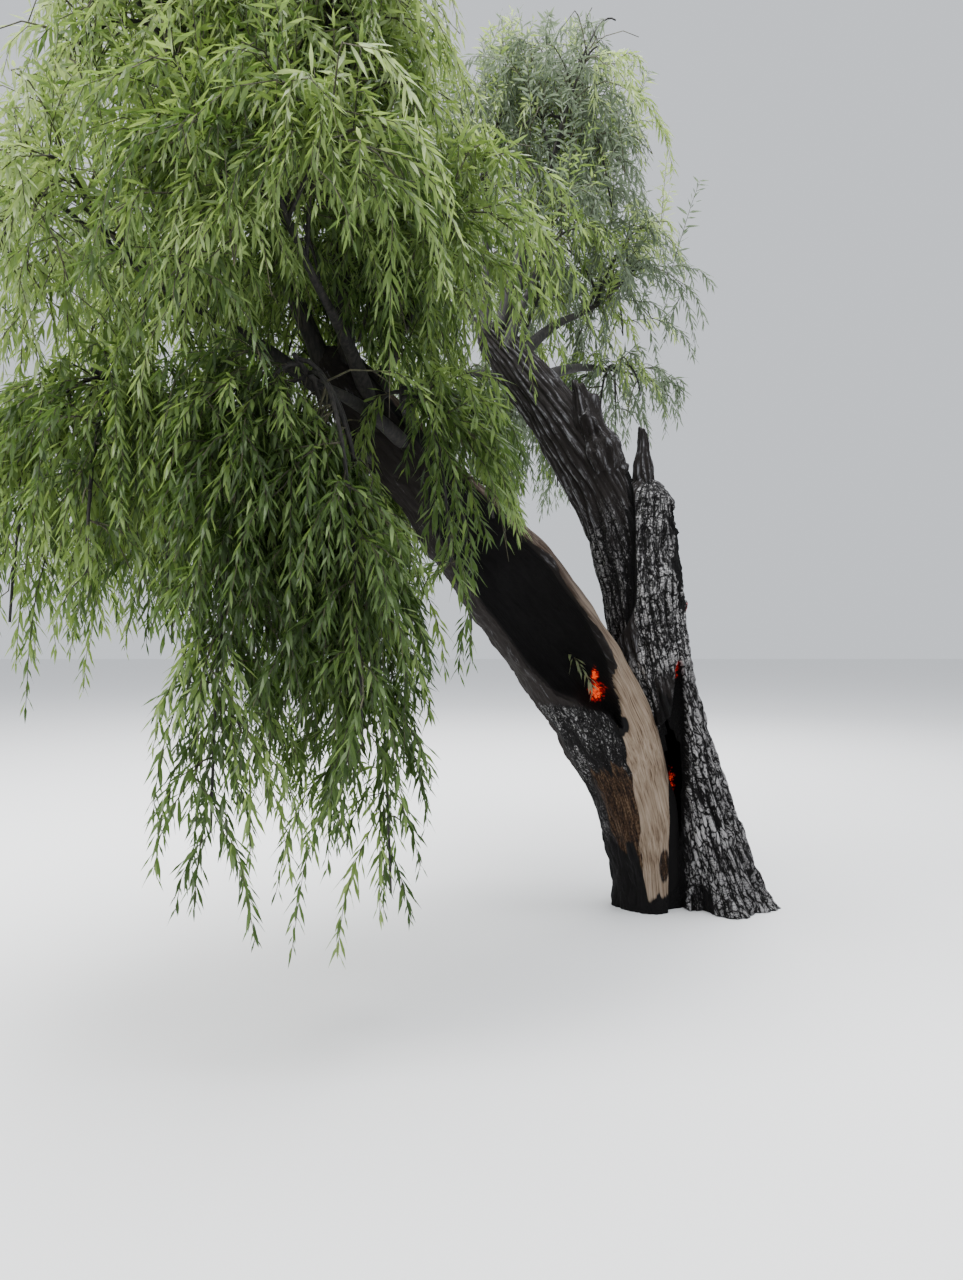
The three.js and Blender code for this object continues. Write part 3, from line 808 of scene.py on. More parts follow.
# Where the fire still glows, where the bare wood rots or has a hole, and a notch between two roots: places,
# and how far each reaches
HOLLOW_EMBER = (place(-0.555, -0.1, 1.165), place(0.045, 0.3, 0.055))
EMBER_STREAK = (place(-0.565, -0.1, 1.25), place(0.018, 0.3, 0.05))
CLEFT_EMBER = (place(-0.12, -0.12, 1.28), place(0.02, 0.12, 0.07))
LOW_EMBER = (place(-0.14, -0.1, 0.66), place(0.025, 0.12, 0.12))
SIDE_EMBER = (place(-0.045, -0.1, 1.61), place(0.02, 0.15, 0.035))
ROTTEN_PATCH = (place(-0.195, -0.2, 0.25), place(0.035, 0.2, 0.11))
KNOT_HOLE = (place(-0.45, 0, 0.985), place(0.035, math.inf, 0.055))
ROOT_NOTCH = (place(0.005, 0, 0), place(0.045, math.inf, 0.12))
DIM_EMBER = 0.62
# The gap between the right stem and the rear limb, over the fork
PARTING_X = -0.345
FORK_HEIGHT = 1.25


def spot(places, middle_and_reach):
    """A round spot that fades outward from 1."""
    middle, reach = middle_and_reach
    return np.exp(-(((places - middle) / reach) ** 2).sum(axis=-1))


def highest(*values):
    return np.maximum.reduce(np.broadcast_arrays(*values))


class LeftStem(Skin):
    """The left stem: dark bark, bare wood low on its front, and the hollow behind its pale rim."""

    def __init__(self):
        shape = dict(start=0.0165, crowd=0.35, flare=0.12, lobes=4, dome=0.05)
        super().__init__(LEFT_MIDDLE, LEFT_RADIUS, rows=350, columns=164, **shape)
        self.edge = profile(BARE_EDGE, self.share)
        self.ridges = self.pattern((0.05, 0.05, 0.3), 4)
        self.is_front = np.cos(self.turn) > 0
        self.bowl = self.hollow_bowl()
        bare = window(self.angle + 6 * self.ridges, BARE_BACK, self.edge, 8)
        self.bare = bare * fall(self.share, 0.9, 0.06)

    def hollow_bowl(self):
        """How deep in the hollow each place is, from 0 at its lips to 1 along its middle."""
        lip, edge = np.sin(np.radians(profile(LIP, self.share))), np.sin(np.radians(self.edge))
        reach, middle = lip - edge, (lip + edge) / 2
        offset = (self.left / self.radius - middle) / np.maximum(reach / 2, 1e-3)
        return np.sqrt(np.clip(1 - offset**2, 0, 1)) * self.is_front * (reach > 0.02)

    def carve(self):
        """Lumps, bark, the grain of the bare wood, the hollow's rim and the hollow itself."""
        plates = 0.008 * self.plates((0.04, 0.04, 0.14), most=0.3) / 0.3
        bark = (1 - self.bare) * (1 - ease(self.bowl * 3))
        self.raise_by(0.014 * self.pattern(0.33) + bark * (0.012 * self.ridges + plates - 0.004))
        self.raise_by(self.bare * 0.005 * self.pattern((0.022, 0.022, 0.5)))
        rim = np.exp(-(((self.angle - self.edge + 9) / 9) ** 2)) * rise(self.share, 0.33, 0.06)
        self.raise_by(0.02 * rim * fall(self.share, 0.84, 0.08))
        depth = profile(DEPTH, np.clip(self.share, DEPTH[0][0], DEPTH[-1][0]))
        self.front = self.front - self.bowl * (depth + 0.02 * self.pattern((0.06, 0.06, 0.22), 4))

    def face_cleft(self, places):
        """Push the wood back to the cleft's edge, and return how far it was beyond it."""
        x, y, z = xyz(places)
        beyond = np.maximum(x - (cleft_edge(CLEFT_LEFT, z) + 0.006 * self.ridges), 0)
        x -= beyond * (ease((CLEFT_DEEPEST - y) / 0.06) * fall(z, CLEFT_TOP, 0.05))
        np.maximum(z, 0, out=z)
        return beyond * (z < CLEFT_TOP)

    def paint(self, places, beyond):
        """The masks for bare, rotten and mottled wood, black at the foot, black in the hollow as char and
        painted shade, painted shade as black in the cleft and the knot hole, and embers.
        """
        _, _, z = xyz(places)
        ridges, edge = self.ridges, self.edge
        beside = window(self.angle + 12 * ridges, edge - 4, 52, 16)
        beside_low = beside * fall(z, 0.72 + 0.1 * ridges, 0.12)
        foot_top = between(0.03, 0.3, rise(self.angle, edge - 6, 14))
        foot = fall(z, foot_top + 0.06 * ridges, 0.12)
        decay = fall(z, 0.05 + 0.08 * ridges, 0.1)
        patch = spot(places, ROTTEN_PATCH)
        mottled = window(self.angle, edge, 74, 20) * window(z, 0.7, 1.1, 0.12)
        deep = rise(self.bowl, 0.15, 0.35) * rise(self.share, 0.31, 0.04)
        knot = spot(places, KNOT_HOLE) * self.is_front * (1 + 0.8 * ridges)
        self.set_masks(
            bare=self.bare * (1 - ease(self.bowl * 4)) * (1 - 0.8 * decay) * (1 - patch),
            rotten=highest(beside_low, 0.95 * patch, 0.8 * decay),
            weathered=rise(self.share, 0.36, 0.22),
            char=highest(mottled, 0.6 * fall(z, 0.7, 0.2) * (1 - beside)),
            ash=0.62 * mottled + 0.1,
            ridge=0.5 + 0.5 * ridges - 0.35 * (1 - self.bare),
            # Black at the foot, char and painted shade in the hollow, painted shade in the cleft and the
            # knot hole.
            soot=highest(deep, ease(beyond / 0.02), foot, ease(knot * 2)),
            ember=highest(spot(places, HOLLOW_EMBER), spot(places, EMBER_STREAK)) * deep,
        )


def left_stem(part):
    stem = LeftStem()
    stem.carve()
    places = stem.places()
    beyond = stem.face_cleft(places)
    stem.paint(places, beyond)
    stem.add_to(part, places)


class RightStem(Skin):
    """The right stem: columns of charred checks under ash, black along its right side and in its cracks."""

    def __init__(self):
        shape = dict(start=0.026, flare=0.32, lobes=5, dome=0.05)
        super().__init__(RIGHT_MIDDLE, BROKEN_TOP_RADIUS, rows=230, columns=192, **shape)
        self.low = fall(self.height, 1.0, 0.45)
        self.lumps = self.pattern(0.3)
        self.ragged = self.pattern((0.03, 0.03, 0.16), 4)
        self.ridge = np.clip(self.columns(24, 1.5) * (1 + 0.8 * self.ragged), 0, 1.3)
        strip = ((self.angle + 82) / 38) ** 2 + ((self.height - 1.87) / 0.34) ** 4 + 1.1 * self.ragged
        self.strip = ease((1.15 - strip) / 0.4)

    def carve(self):
        """Lumps, columns, plates and the burnt-out strip high on the right side."""
        columns = between(0.012, 0.023, self.low) * (self.ridge**0.7 - 0.6)
        self.raise_by(0.012 * self.lumps + columns + 0.007 * self.ragged)
        self.raise_by(between(0.008, 0.003, self.low) * self.plates((0.03, 0.03, 0.08), most=0.25) / 0.25)
        self.raise_by(-0.016 * self.strip)

    def part_from_rear(self, places):
        """Push the wood over the fork clear of the rear limb, and return how far."""
        x, _, z = xyz(places)
        parting = between(PARTING_X - 0.12, PARTING_X, rise(z, 1.3, 0.35)) + 0.008 * self.lumps
        behind = np.maximum(np.where(z > FORK_HEIGHT, parting, -np.inf) - x, 0)
        x += behind
        return behind

    def open_cleft(self, places):
        """Push the wood in the cleft back to its deepest, and return where that is."""
        x, y, z = xyz(places)
        left_wall = cleft_edge(CLEFT_LEFT, z) + 0.006 * self.ragged
        right_wall = cleft_edge(CLEFT_RIGHT, z) + 0.008 * self.ragged
        open_side = 0.3 * fall(z, 0.8, 0.25)
        cleft = window(x, left_wall - open_side, right_wall, 0.016) * fall(z, 1.3, 0.05)
        y += np.maximum(CLEFT_DEEPEST - y, 0) * cleft
        return cleft

    def notch_foot(self, places):
        """Sink the notch between two roots, cut the foot flat, and return where the notch is."""
        _, y, z = xyz(places)
        notch = spot(places, ROOT_NOTCH) * (y < 0)
        y += 0.07 * notch
        np.maximum(z, 0, out=z)
        return notch

    def paint(self, places, behind, cleft, notch):
        """The masks for char, ash, rungs, the black of soot and painted shade, and embers, with dark bark
        over the cleft and to the left.
        """
        x, _, z = xyz(places)
        bark_side = window(self.angle, 28, 180, 16) * rise(z, 1.1, 0.3)
        wander = 0.05 * self.lumps + 0.07 * self.ragged
        sooty = window(x + wander, -0.25, -0.11, 0.09) * window(z + wander, 0.7, 1.3, 0.26)
        dusty = 0.62 + 0.5 * self.lumps + 0.25 * np.exp(-(((self.angle - 8) / 40) ** 2))
        dusty = dusty * between(1.15, 0.6, self.low) * window(self.angle, -150, 120, 40)
        self.set_masks(
            char=1 - highest(0.9 * bark_side, 0.62 * sooty),
            ash=dusty * (1 - 0.85 * sooty),
            ridge=self.ridge * (1 - 0.35 * sooty),
            ladder=self.low,
            # Black for the burnt-out strip, char and painted shade in the grooves low down, and painted
            # shade in the root notch, the gap behind the rear limb and the cleft.
            soot=highest(
                self.strip,
                ease(notch * 2),
                ease(behind / 0.012) * window(z, 1.5, 2.4, 0.1),
                rise(cleft, 0.25, 0.5),
                0.9 * ease((0.22 - self.ridge) / 0.15) * self.low,
                0.9 * sooty * fall(z, 1.05 + 0.08 * self.ragged, 0.2),
            ),
            ember=DIM_EMBER * highest(spot(places, CLEFT_EMBER), spot(places, SIDE_EMBER)),
        )


def right_stem(part):
    stem = RightStem()
    stem.carve()
    places = stem.places()
    behind = stem.part_from_rear(places)
    cleft = stem.open_cleft(places)
    notch = stem.notch_foot(places)
    stem.paint(places, behind, cleft, notch)
    stem.add_to(part, places)


def heart(part):
    """The wood between the stems. Its front is the cleft's back, painted black as shade."""
    skin = Skin(HEART_MIDDLE, HEART_RADIUS, rows=90, columns=48, start=0.04, dome=0.08)
    skin.raise_by(0.012 * skin.pattern((0.06, 0.06, 0.25), 4))
    places = skin.places()
    x, y, z = xyz(places)
    mouth = window(x, -0.2, -0.04, 0.04) * fall(z, CLEFT_TOP, 0.06)
    y += np.maximum(CLEFT_DEEPEST - y, 0) * mouth
    np.maximum(z, 0, out=z)
    ember = DIM_EMBER * highest(spot(places, LOW_EMBER), spot(places, CLEFT_EMBER))
    skin.set_masks(char=1.0, ash=0.3, ridge=0.3, soot=0.95 * mouth, ember=ember)
    skin.add_to(part, places)


def rear_limb(part):
    """The limb that arches to the back, with deep furrows that follow its curve."""
    skin = Skin(REAR_MIDDLE, REAR_FOOT_RADIUS, rows=180, columns=180, start=-0.25, dome=0.06)
    ragged = skin.pattern((0.03, 0.03, 0.2), 4)
    ridge = np.clip(skin.columns(27, 1.6) * (1 + 0.7 * ragged), 0, 1.3)
    skin.raise_by(0.012 * skin.pattern(0.3) + 0.017 * (ridge**0.7 - 0.6) + 0.006 * ragged)
    places = skin.places()
    x, y, z = xyz(places)
    y += 0.04 * fall(skin.share, 0, 0.4)
    lowest = fall(skin.share, 0.1, 0.4)
    # Painted shade: black in the gap between the rear limb and the right stem.
    painted_shade_gap = window(x + 0.03 * ragged, PARTING_X - 0.035, PARTING_X + 0.1, 0.03) * window(z, 1.5, 2.45, 0.2)
    skin.set_masks(char=0.8 * lowest, ash=0.2 + 0.15 * lowest, ridge=ridge - 0.12, soot=painted_shade_gap)
    skin.add_to(part, places)


def torn_end(part, middle, radius, sway, splits):
    """A broken end: charred, with an uneven top."""
    skin = Skin(middle, radius, rows=80, columns=56, dome=0.02)
    ragged = skin.pattern((0.035, 0.035, 0.2), 4)
    ridge = np.clip(skin.columns(11, 1.0) * (1 + 0.5 * ragged), 0, 1.2)
    skin.raise_by(skin.radius * (0.22 * ragged + 0.16 * (ridge - 0.6)))
    places = skin.places()
    x, _, z = xyz(places)
    z += splits * skin.pattern((0.04, 0.04, 4), 2) * rise(skin.share, 0.4, 0.5)
    x += sway * np.sin(skin.share * 9) * skin.share
    skin.set_masks(char=0.3, ash=0.5, ridge=ridge - 0.1)
    skin.add_to(part, places)


def add_wood():
    """The main wood, as three pieces."""
    left, right, rear = Part(), Part(), Part()
    left_stem(left)
    finish = burnt_wood("hollow_stem_wood", has_bare_wood=True, glows=True)
    left.make("left_stem_and_hollow", [finish], "charred_bark", ["trunk", "left_bough"])
    right_stem(right)
    heart(right)
    torn_end(right, SPIKE_MIDDLE, TORN_SPIKE_RADIUS, sway=0.006, splits=0.05)
    finish = burnt_wood("charred_stem_wood", has_rungs=True, glows=True)
    right.make("right_stem_and_spike", [finish], "charred_bark", ["trunk", "right_stem"])
    rear_limb(rear)
    torn_end(rear, TORN_STUB_MIDDLE, TORN_STUB_RADIUS, sway=0, splits=0.09)
    rear.make("rear_limb_and_stub", [burnt_wood("rear_limb_wood")], "charred_bark", ["rear_limb"])


# The fine growth of the crown. Lengths and spacings are in metres, the rest are shares and weights.

TWIGLET = {
    "spacing": 0.15, "first": 0.15, "last": 0.95, "length": 0.42, "least": 0.6, "vary": 0.7, "hanging": 0.5,
    "out": 0.8, "along": 0.6, "lift": 0.1, "up": 0.35, "droop": 0.1, "tries": 3, "shrink": 0.75,
}
SHOOT = {
    "spacing": 0.1, "length": 0.5, "least": 0.65, "vary": 0.75, "streamer": 0.5, "aside": 0.62, "along": 0.5,
    "up": 0.12, "tries": 4, "shrink": 0.78,
}
LEAF = {
    "spacing": 0.0172, "length": 0.094, "width": 0.0138, "twist": 0.35, "droop": 0.11,
    "near": 0.3, "far": 0.64, "far_width": 0.82,
}
TWIGLET_RADIUS = (0.0048, 0.0028)
SHOOT_RADIUS = (0.0028, 0.0012)
TWIG_POINTS = np.linspace(0, 1, 4)
SHOOT_SPACE_MARGIN = 0.004
UNDERHANG = 0.3
OVERTOP = 0.16
BOX_MARGIN = 0.03

# The opening in the leaves through which the left stem shows: shares along it, how wide, and which way
OPENING = [
    (0.58, 0.15), (0.64, 0.16), (0.7, 0.16), (0.76, 0.16),
    (0.82, 0.16), (0.88, 0.16), (0.94, 0.15), (1, 0.13),
]
OPENING_WAY = place(0.077, -0.982, -0.17)
OPENING_DEPTH = 1.6
OPENING_KEEPS = 0.1


def in_opening(points):
    """Which of several places are in the opening."""
    found = np.zeros(points.shape[:-1], bool)
    for share, radius in OPENING:
        apart = points - bezier(LEFT_MIDDLE, share)
        along = np.clip(apart @ OPENING_WAY, 0, OPENING_DEPTH)[..., None]
        found |= np.linalg.norm(apart - along * OPENING_WAY, axis=-1) < radius
    return found


def is_in_box(points):
    """Which of several places are within the solids' box and a little more."""
    low, high = np.array(cad_box) + [[-BOX_MARGIN], [BOX_MARGIN]]
    return ((points > low) & (points < high)).all(axis=-1)


def twiglets_of(mass, branch, draw):
    """Finer twigs that leave a branch all round, rise a little and droop."""
    found = []
    count = max(2, round(length_of(branch) / TWIGLET["spacing"] * mass.fullness))
    turn = draw() * 2 * math.pi
    for k in range(count):
        share = between(TWIGLET["first"], TWIGLET["last"], k / count)
        start, along = bezier(branch, share), heading(branch, share)
        facing, aside = across(along, UP if abs(along[2]) < 0.8 else FRONT)
        angle = turn + k * GOLDEN_ANGLE
        side = facing * math.cos(angle) + aside * math.sin(angle)
        reach = TWIGLET["length"] * (TWIGLET["least"] + TWIGLET["vary"] * draw())
        reach *= TWIGLET["hanging"] if mass.hangs else 1
        way = unit(side * TWIGLET["out"] + along * TWIGLET["along"] + UP * TWIGLET["lift"])
        for attempt in range(TWIGLET["tries"]):
            size = reach * TWIGLET["shrink"] ** attempt
            bend = start + way * size * 0.6 + UP * size * TWIGLET["up"]
            curve = [start, bend, start + way * size - UP * size * TWIGLET["droop"]]
            fits = mass.holds(curve, SHOOT_SPACE_MARGIN) and is_in_box(curve).all()
            if fits and not touches_wood(bezier(curve, (0.5, 1)), 0.02):
                found.append(curve)
                break
    return found


def hanging_shoot(start, way, size, hang):
    return [
        start,
        start + way * size * 0.33,
        start + way * size * 0.55 - UP * size * hang * 0.25,
        start + way * size * 0.62 - UP * size * hang * 0.85,
    ]


def rising_shoot(start, way, size):
    way = unit(way * 0.45 + UP)
    bend = start + way * size * 0.72 + UP * size * 0.08
    return [start, start + way * size * 0.35, bend, start + way * size]


def has_room(mass, curve, rises):
    """Whether a shoot fits. It may rise a little over a round mass, or hang a little below it."""
    tip, top, bottom = curve[-1][2], mass.middle[2] + mass.half[2], mass.middle[2] - mass.half[2]
    if mass.hangs:
        inside = mass.holds(curve, SHOOT_SPACE_MARGIN)
    elif rises:
        inside = mass.holds(curve[0], SHOOT_SPACE_MARGIN) and tip < top + OVERTOP
    else:
        inside = mass.holds(curve[:2], SHOOT_SPACE_MARGIN) and bottom - UNDERHANG < tip < top
    return inside and is_in_box(curve).all() and not touches_wood(bezier(curve, (0.35, 0.7, 1)), 0.03)


def is_off_dome(mass, tip, draw):
    """The crown closes in a dome: its radius shrinks to nothing at the top over the dome's depth."""
    dome = mass.crown["dome"]
    if tip[2] < dome["top"] - dome["depth"]:
        return False
    reach = dome["radius"] * np.clip((dome["top"] - tip[2]) / dome["depth"], 0.001, 1) ** dome["power"]
    return draw() < rise(np.linalg.norm((tip - mass.crown["axis"])[:2]) / reach, 0.85, 0.3)


def frays(mass, curve, draw):
    """Whether a shoot is left out: off the dome, near the hem of a hanging mass or the edge of another."""
    if is_off_dome(mass, curve[-1], draw):
        return True
    if not mass.hangs:
        furthest = (np.abs((np.array(curve) - mass.middle) / mass.half) ** 2).sum(axis=1).max()
        return draw() < 0.45 * rise(furthest, 0.8, 0.5)
    above_hem = (min(point[2] for point in curve) - mass.middle[2] + mass.half[2]) / mass.hem
    return draw() > 0.25 + ease(above_hem)


def shoots_of(mass, carrier, first, draw, is_streamer):
    """The shoots along a branch or twiglet. One that doesn't fit is drawn shorter, or left out.

    A streamer is a branch that hangs in the opening and keeps short shoots.
    """
    found = []
    count = max(2, round(length_of(carrier) * (1 - first) / SHOOT["spacing"] * mass.fullness))
    turn = draw() * 2 * math.pi
    for k in range(count + 1):
        share = between(first, 1, k / count)
        start, along = bezier(carrier, share), heading(carrier, share)
        angle = turn + k * GOLDEN_ANGLE
        level = place(math.cos(angle), math.sin(angle), 0) * SHOOT["aside"] * (0.4 + 0.9 * draw())
        way = unit(level * mass.habit["aside"] + along * SHOOT["along"] + UP * SHOOT["up"])
        full = SHOOT["length"] * (SHOOT["least"] + SHOOT["vary"] * draw())
        full *= SHOOT["streamer"] if is_streamer else 1
        hang = between(0.35, 0.95, draw())
        rises = draw() < mass.tier["rising"]
        for attempt in range(SHOOT["tries"]):
            size = full * SHOOT["shrink"] ** attempt
            curve = rising_shoot(start, way, size) if rises else hanging_shoot(start, way, size, hang)
            if has_room(mass, curve, rises):
                is_clear = is_streamer or in_opening(bezier(curve, np.linspace(0, 1, 7))).sum() < 2
                if is_clear and not frays(mass, curve, draw):
                    found.append(curve)
                break
    return found


def leaf_places(curve, draw, is_streamer):
    """The leaves along a shoot, each of six places: its foot, two edges that bend and twist, and its tip."""
    count = max(4, round(length_of(curve) / LEAF["spacing"]))
    k = np.arange(count)
    share = between(0.06, 1.0, (k + 0.5 * draw()) / count)
    foot, along = bezier(curve, share), heading(curve, share)
    facing, aside = across(along, place(0.83, 0.55, 0.1))
    angle = k * GOLDEN_ANGLE + draw() * 6.28
    vary = np.sin(k * 12.9898 + draw() * 50)[:, None]
    out = facing * np.cos(angle)[:, None] + aside * np.sin(angle)[:, None]
    way = unit(along * 0.75 + out * (0.62 + 0.2 * vary) - UP * (0.38 + 0.15 * vary))
    size = LEAF["length"] * (1 + 0.22 * vary) * between(1.0, 0.62, share**3)[:, None]
    wide = unit(np.cross(way, out + UP * 0.4 + along * 0.3 * vary))
    above = np.cross(wide, way)
    half = LEAF["width"] / 2 * size / LEAF["length"]
    lower = (wide + above * LEAF["twist"]) * half
    upper = (wide - above * LEAF["twist"]) * half * LEAF["far_width"]
    droop = -UP * size * LEAF["droop"]
    near, far = foot + way * size * LEAF["near"], foot + way * size * LEAF["far"] + droop * 0.35
    tip = foot + way * size + droop
    places = np.stack([foot, near + lower, near - lower, far + upper, far - upper, tip], axis=1)
    is_spared = is_streamer | (np.modf(np.abs(vary[:, 0]) * 97)[0] <= OPENING_KEEPS)
    return places[is_in_box(places).all(axis=1) & (is_spared | ~in_opening(places[:, 3]))]


LEAF_FACES = np.array([[0, 2, 1], [1, 2, 4], [1, 4, 3], [3, 4, 5]])


def leaf_faces(count):
    return (LEAF_FACES + np.arange(count)[:, None, None] * 6).reshape(-1, 3)


# The greens from the darkest to the lightest, used as painted shade and light on one leaf green as well as
# for paler undersides, then the rear crown's grey green: leaf, and light through it
LEAF_GREENS = [
    ("leaf_deep", (0.03, 0.056, 0.013, 1), (0.06, 0.12, 0.018, 1)),
    ("leaf_dark", (0.062, 0.106, 0.028, 1), (0.13, 0.23, 0.04, 1)),
    ("leaf_mid", (0.125, 0.19, 0.06, 1), (0.28, 0.42, 0.08, 1)),
    ("leaf_fresh", (0.20, 0.28, 0.10, 1), (0.42, 0.58, 0.13, 1)),
    ("leaf_light", (0.30, 0.385, 0.18, 1), (0.55, 0.70, 0.22, 1)),
    ("leaf_pale", (0.38, 0.45, 0.26, 1), (0.58, 0.72, 0.30, 1)),
    ("leaf_grey", (0.125, 0.162, 0.108, 1), (0.21, 0.27, 0.16, 1)),
]
PALE_TONE, GREY_TONE = 5, 6
GREY_SHARE = 0.65
# The middle and reach by which the crown's greens get painted shade inside and painted light outside.
CROWN_MIDDLE_RISE = 0.7
CROWN_REACH = (1.35, 1.35, 1.6)


def lit_and_shaded_tone_of(mass, at, draw):
    """How light the green of a spray is, as painted light and shade with a random spread: the lighter, the
    higher it is and the further from the middle, and darker deep inside.
    """
    middle = mass.crown["axis"] + UP * (mass.crown["hub"] + CROWN_MIDDLE_RISE)
    outward = np.linalg.norm((at - middle) / CROWN_REACH)
    height = rise(at[2], 1.3, 3.6)
    tone = 0.45 + 3.6 * height + 2.2 * (outward - 0.5) * (0.4 + 0.6 * height) + 2.4 * (draw() - 0.5)
    # Painted light: lighter on the left of the crown, from a height up.
    tone += 1.1 * rise(-at[0], 2.2, 0.8) * rise(at[2], 1.2, 0.8)
    if mass.crown["name"] == "rear" and draw() < GREY_SHARE:
        return GREY_TONE
    return int(np.clip(tone, 0, 4.4 + 1.2 * draw()))


def tones_by_leaf(tone, count, draw):
    """Some leaves of a spray show their paler underside, and a few are darker."""
    if tone == GREY_TONE:
        return np.full(count, tone)
    vary = np.modf(np.abs(np.sin(np.arange(count) * 78.233 + draw() * 40)) * 43.7)[0]
    return np.clip(tone + (vary > 0.84) * 1 - (vary < 0.12) * 1, 0, PALE_TONE)


# Finish numbers for the crown's twigs: the bough bark, painted very dark as shade in the crown, and the
# young twig bark.
DARK_WOOD, YOUNG_WOOD = 0, 1


def add_tube(part, curve, radii, rows, sides):
    """One tube along a curve, which tapers from one radius to the other."""
    shares = np.linspace(0, 1, rows)
    part.add(*tubes([bezier(curve, shares)], between(*radii, shares), sides), DARK_WOOD)


def grow(mass, twigs, leaves):
    """The stem, branches, twiglets, shoots and leaves of a mass."""
    stem = mass.stem_curve()
    branches = mass.branch_curves(stem)
    draw = random_from(mass.seed + 13)
    add_tube(twigs, stem, (mass.bough_radius(1), STEM["tip_radius"] * 0.6), rows=12, sides=6)
    shoots, fine = [], []
    for branch in branches:
        add_tube(twigs, branch, np.multiply(BRANCH_RADIUS, 1.1), rows=14, sides=5)
        is_streamer = mass.hangs and bool(in_opening(bezier(branch, np.linspace(0.6, 0.95, 3))).any())
        carriers = [(branch, 0.06 if mass.hangs else 0.25)]
        for twiglet in twiglets_of(mass, branch, draw):
            if not in_opening(twiglet[-1]):
                fine.append(bezier(twiglet, TWIG_POINTS))
                carriers.append((twiglet, 0.15))
        for carrier, first in carriers:
            tone = lit_and_shaded_tone_of(mass, bezier(carrier, 0.7), draw)
            keeps = is_streamer and carrier is branch
            for shoot in shoots_of(mass, carrier, first, draw, keeps):
                shoots.append(bezier(shoot, TWIG_POINTS))
                places = leaf_places(shoot, draw, keeps)
                if len(places):
                    tones = np.repeat(tones_by_leaf(tone, len(places), draw), len(LEAF_FACES))
                    leaves.add(places, [leaf_faces(len(places))], tones)
    twigs.add(*tubes(fine, between(*TWIGLET_RADIUS, TWIG_POINTS), 3), YOUNG_WOOD)
    twigs.add(*tubes(shoots, between(*SHOOT_RADIUS, TWIG_POINTS), 3), YOUNG_WOOD)


SPRIG = middle_line((-0.72, -0.06, 1.39), (-0.7, -0.2, 1.39), (-0.63, -0.26, 1.29), (-0.575, -0.27, 1.18))
SPRIG_RADIUS = (0.004, 0.0015)


def add_sprig(greens, bark):
    """The pale young shoot that hangs in front of the hollow."""
    leaves, stem = Part(), Part()
    places = leaf_places(SPRIG, random_from(5), is_streamer=True)
    leaves.add(places, [leaf_faces(len(places))], PALE_TONE)
    leaves.make("hollow_sprig_leaves", greens, "foliage", [], smooth=False)
    add_tube(stem, SPRIG, SPRIG_RADIUS, rows=9, sides=5)
    stem.make("hollow_sprig_stem", [bark], "bough_bark", [])


MASSES_A_PIECE = 3


def add_crown(crown, greens, barks):
    """A crown's boughs, its leaves by tier in one or two pieces, and its twigs."""
    name = crown["name"]
    own = [mass for mass in masses if mass.crown is crown]
    boughs, twigs = Part(), Part()
    for mass in own:
        add_tube(boughs, mass.bough, mass.bough_radius(np.array([0, 1])), rows=24, sides=14)
    boughs.make(f"crown_boughs_{name}", barks[:1], "bough_bark", [f"bough_{mass.label}" for mass in own])
    for tier in crown["tiers"]:
        tier_masses = [mass for mass in own if mass.tier is tier]
        for side, first in zip("ab", range(0, len(tier_masses), MASSES_A_PIECE)):
            leaves = Part()
            some = tier_masses[first:first + MASSES_A_PIECE]
            for mass in some:
                grow(mass, twigs, leaves)
            nodes = [f"foliage_{mass.label}" for mass in some]
            leaves.make(f"leaves_{name}_{tier['name']}_{side}", greens, "foliage", nodes, smooth=False)
    twigs.make(f"twigs_{name}", barks, "bough_bark", [f"foliage_{mass.label}" for mass in own])


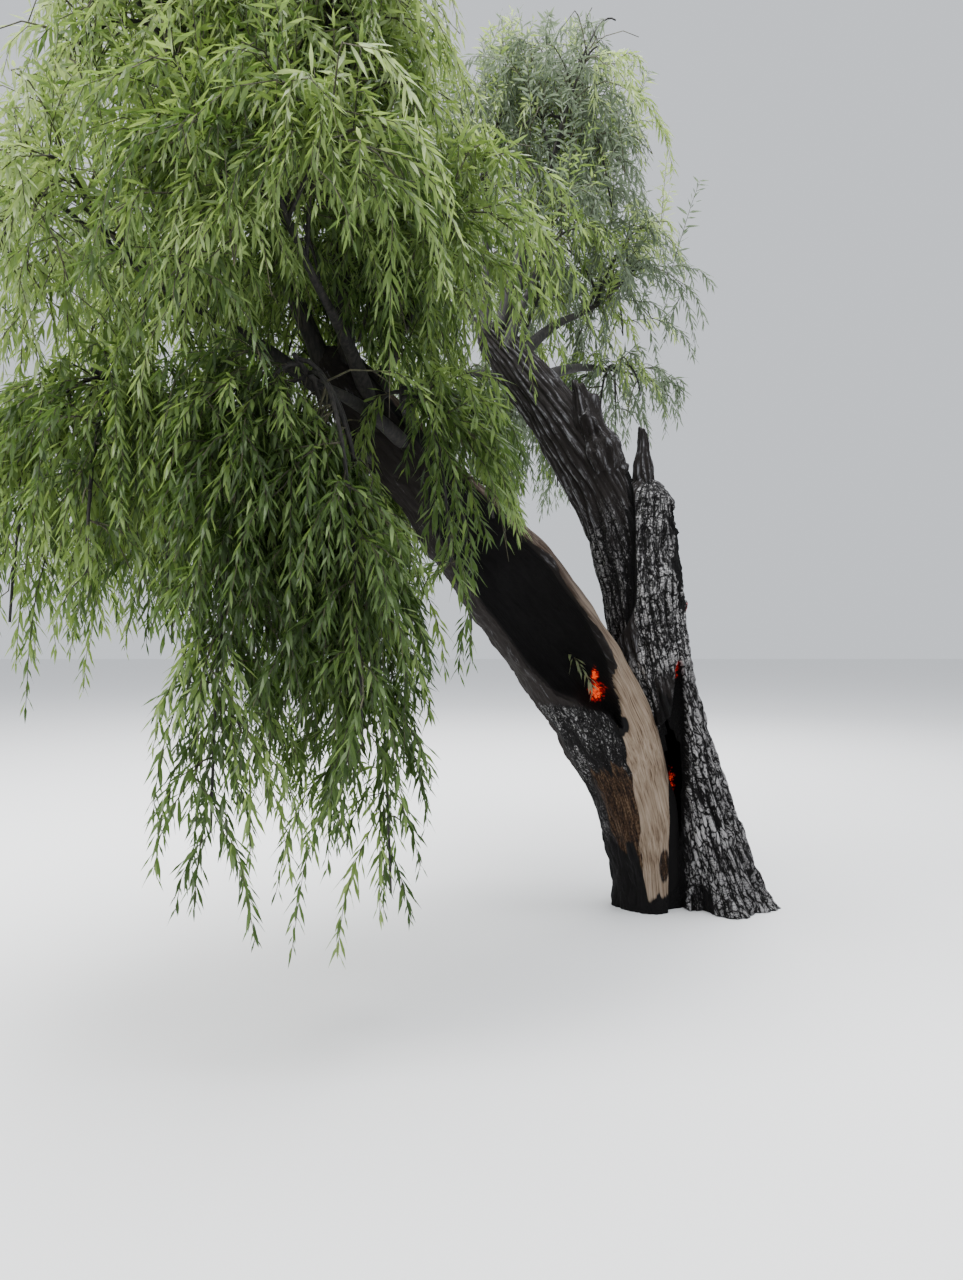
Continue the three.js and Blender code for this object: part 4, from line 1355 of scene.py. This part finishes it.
def add_crowns():
    greens = [leaf_green(*green) for green in LEAF_GREENS]
    # The bough bark is painted almost black: painted shade for the crown's dark middle.
    bark = young_bark("bough_bark", (0.006, 0.005, 0.0045, 1), (0.026, 0.022, 0.019, 1))
    fine_bark = young_bark("twig_bark", (0.028, 0.025, 0.014, 1), (0.085, 0.08, 0.04, 1))
    add_sprig(greens, fine_bark)
    for crown in CROWNS:
        add_crown(crown, greens, [bark, fine_bark])


# The camera, the floor and the light

PHOTO_SIZE = (963, 1280)
FOCAL_PIXELS = 962
SENSOR = 36
CAMERA_PLACE = (-1.154, -5.2, 1.5)
CAMERA_TILT = math.radians(-0.77)
FLOOR_REACH = 40
FLOOR_GREY = (0.84, 0.84, 0.84, 1)
STUDIO_BLUE = (0.86, 0.9, 0.96, 1)


def add_camera():
    data = bpy.data.cameras.new("camera")
    data.sensor_width = SENSOR
    data.lens = FOCAL_PIXELS * SENSOR / max(PHOTO_SIZE)
    camera = add_object("camera", data)
    camera.location = CAMERA_PLACE
    camera.rotation_euler = (math.pi / 2 + CAMERA_TILT, 0, 0)
    bpy.context.scene.camera = camera


def add_lamp(name, at, target, size, power, color=(1, 1, 1)):
    data = bpy.data.lights.new(name, "AREA")
    data.size = size
    data.energy = power
    data.color = color
    lamp = add_object(name, data)
    lamp.location = at
    lamp.rotation_euler = (Vector(target) - Vector(at)).to_track_quat("-Z", "Y").to_euler()


def add_studio():
    floor_mesh = bpy.data.meshes.new("floor")
    corners = [(x * FLOOR_REACH, y * FLOOR_REACH, 0) for x, y in ((-1, -1), (1, -1), (1, 1), (-1, 1))]
    floor_mesh.from_pydata(corners, [], [(0, 1, 2, 3)])
    paint = Paint("floor", roughness=0.95)
    paint.feed("Base Color", FLOOR_GREY)
    floor_mesh.materials.append(paint.material)
    floor = add_object("floor", floor_mesh)
    world = bpy.data.worlds.new("studio")
    world.use_nodes = True
    background = world.node_tree.nodes["Background"].inputs
    background["Color"].default_value = STUDIO_BLUE
    background["Strength"].default_value = 0.95
    bpy.context.scene.world = world
    add_lamp("key", (-8.5, -4.5, 7.5), (-1.9, -0.5, 3.2), 5, 1500, (1, 0.99, 0.97))
    add_lamp("sky", (-1.6, 0.5, 11), (-1.6, -0.2, 0), 9, 2700, (0.97, 0.98, 1))
    add_lamp("back", (1.0, 7, 8), (-1.4, 0, 3), 5, 500)


add_camera()
add_studio()
add_wood()
add_crowns()
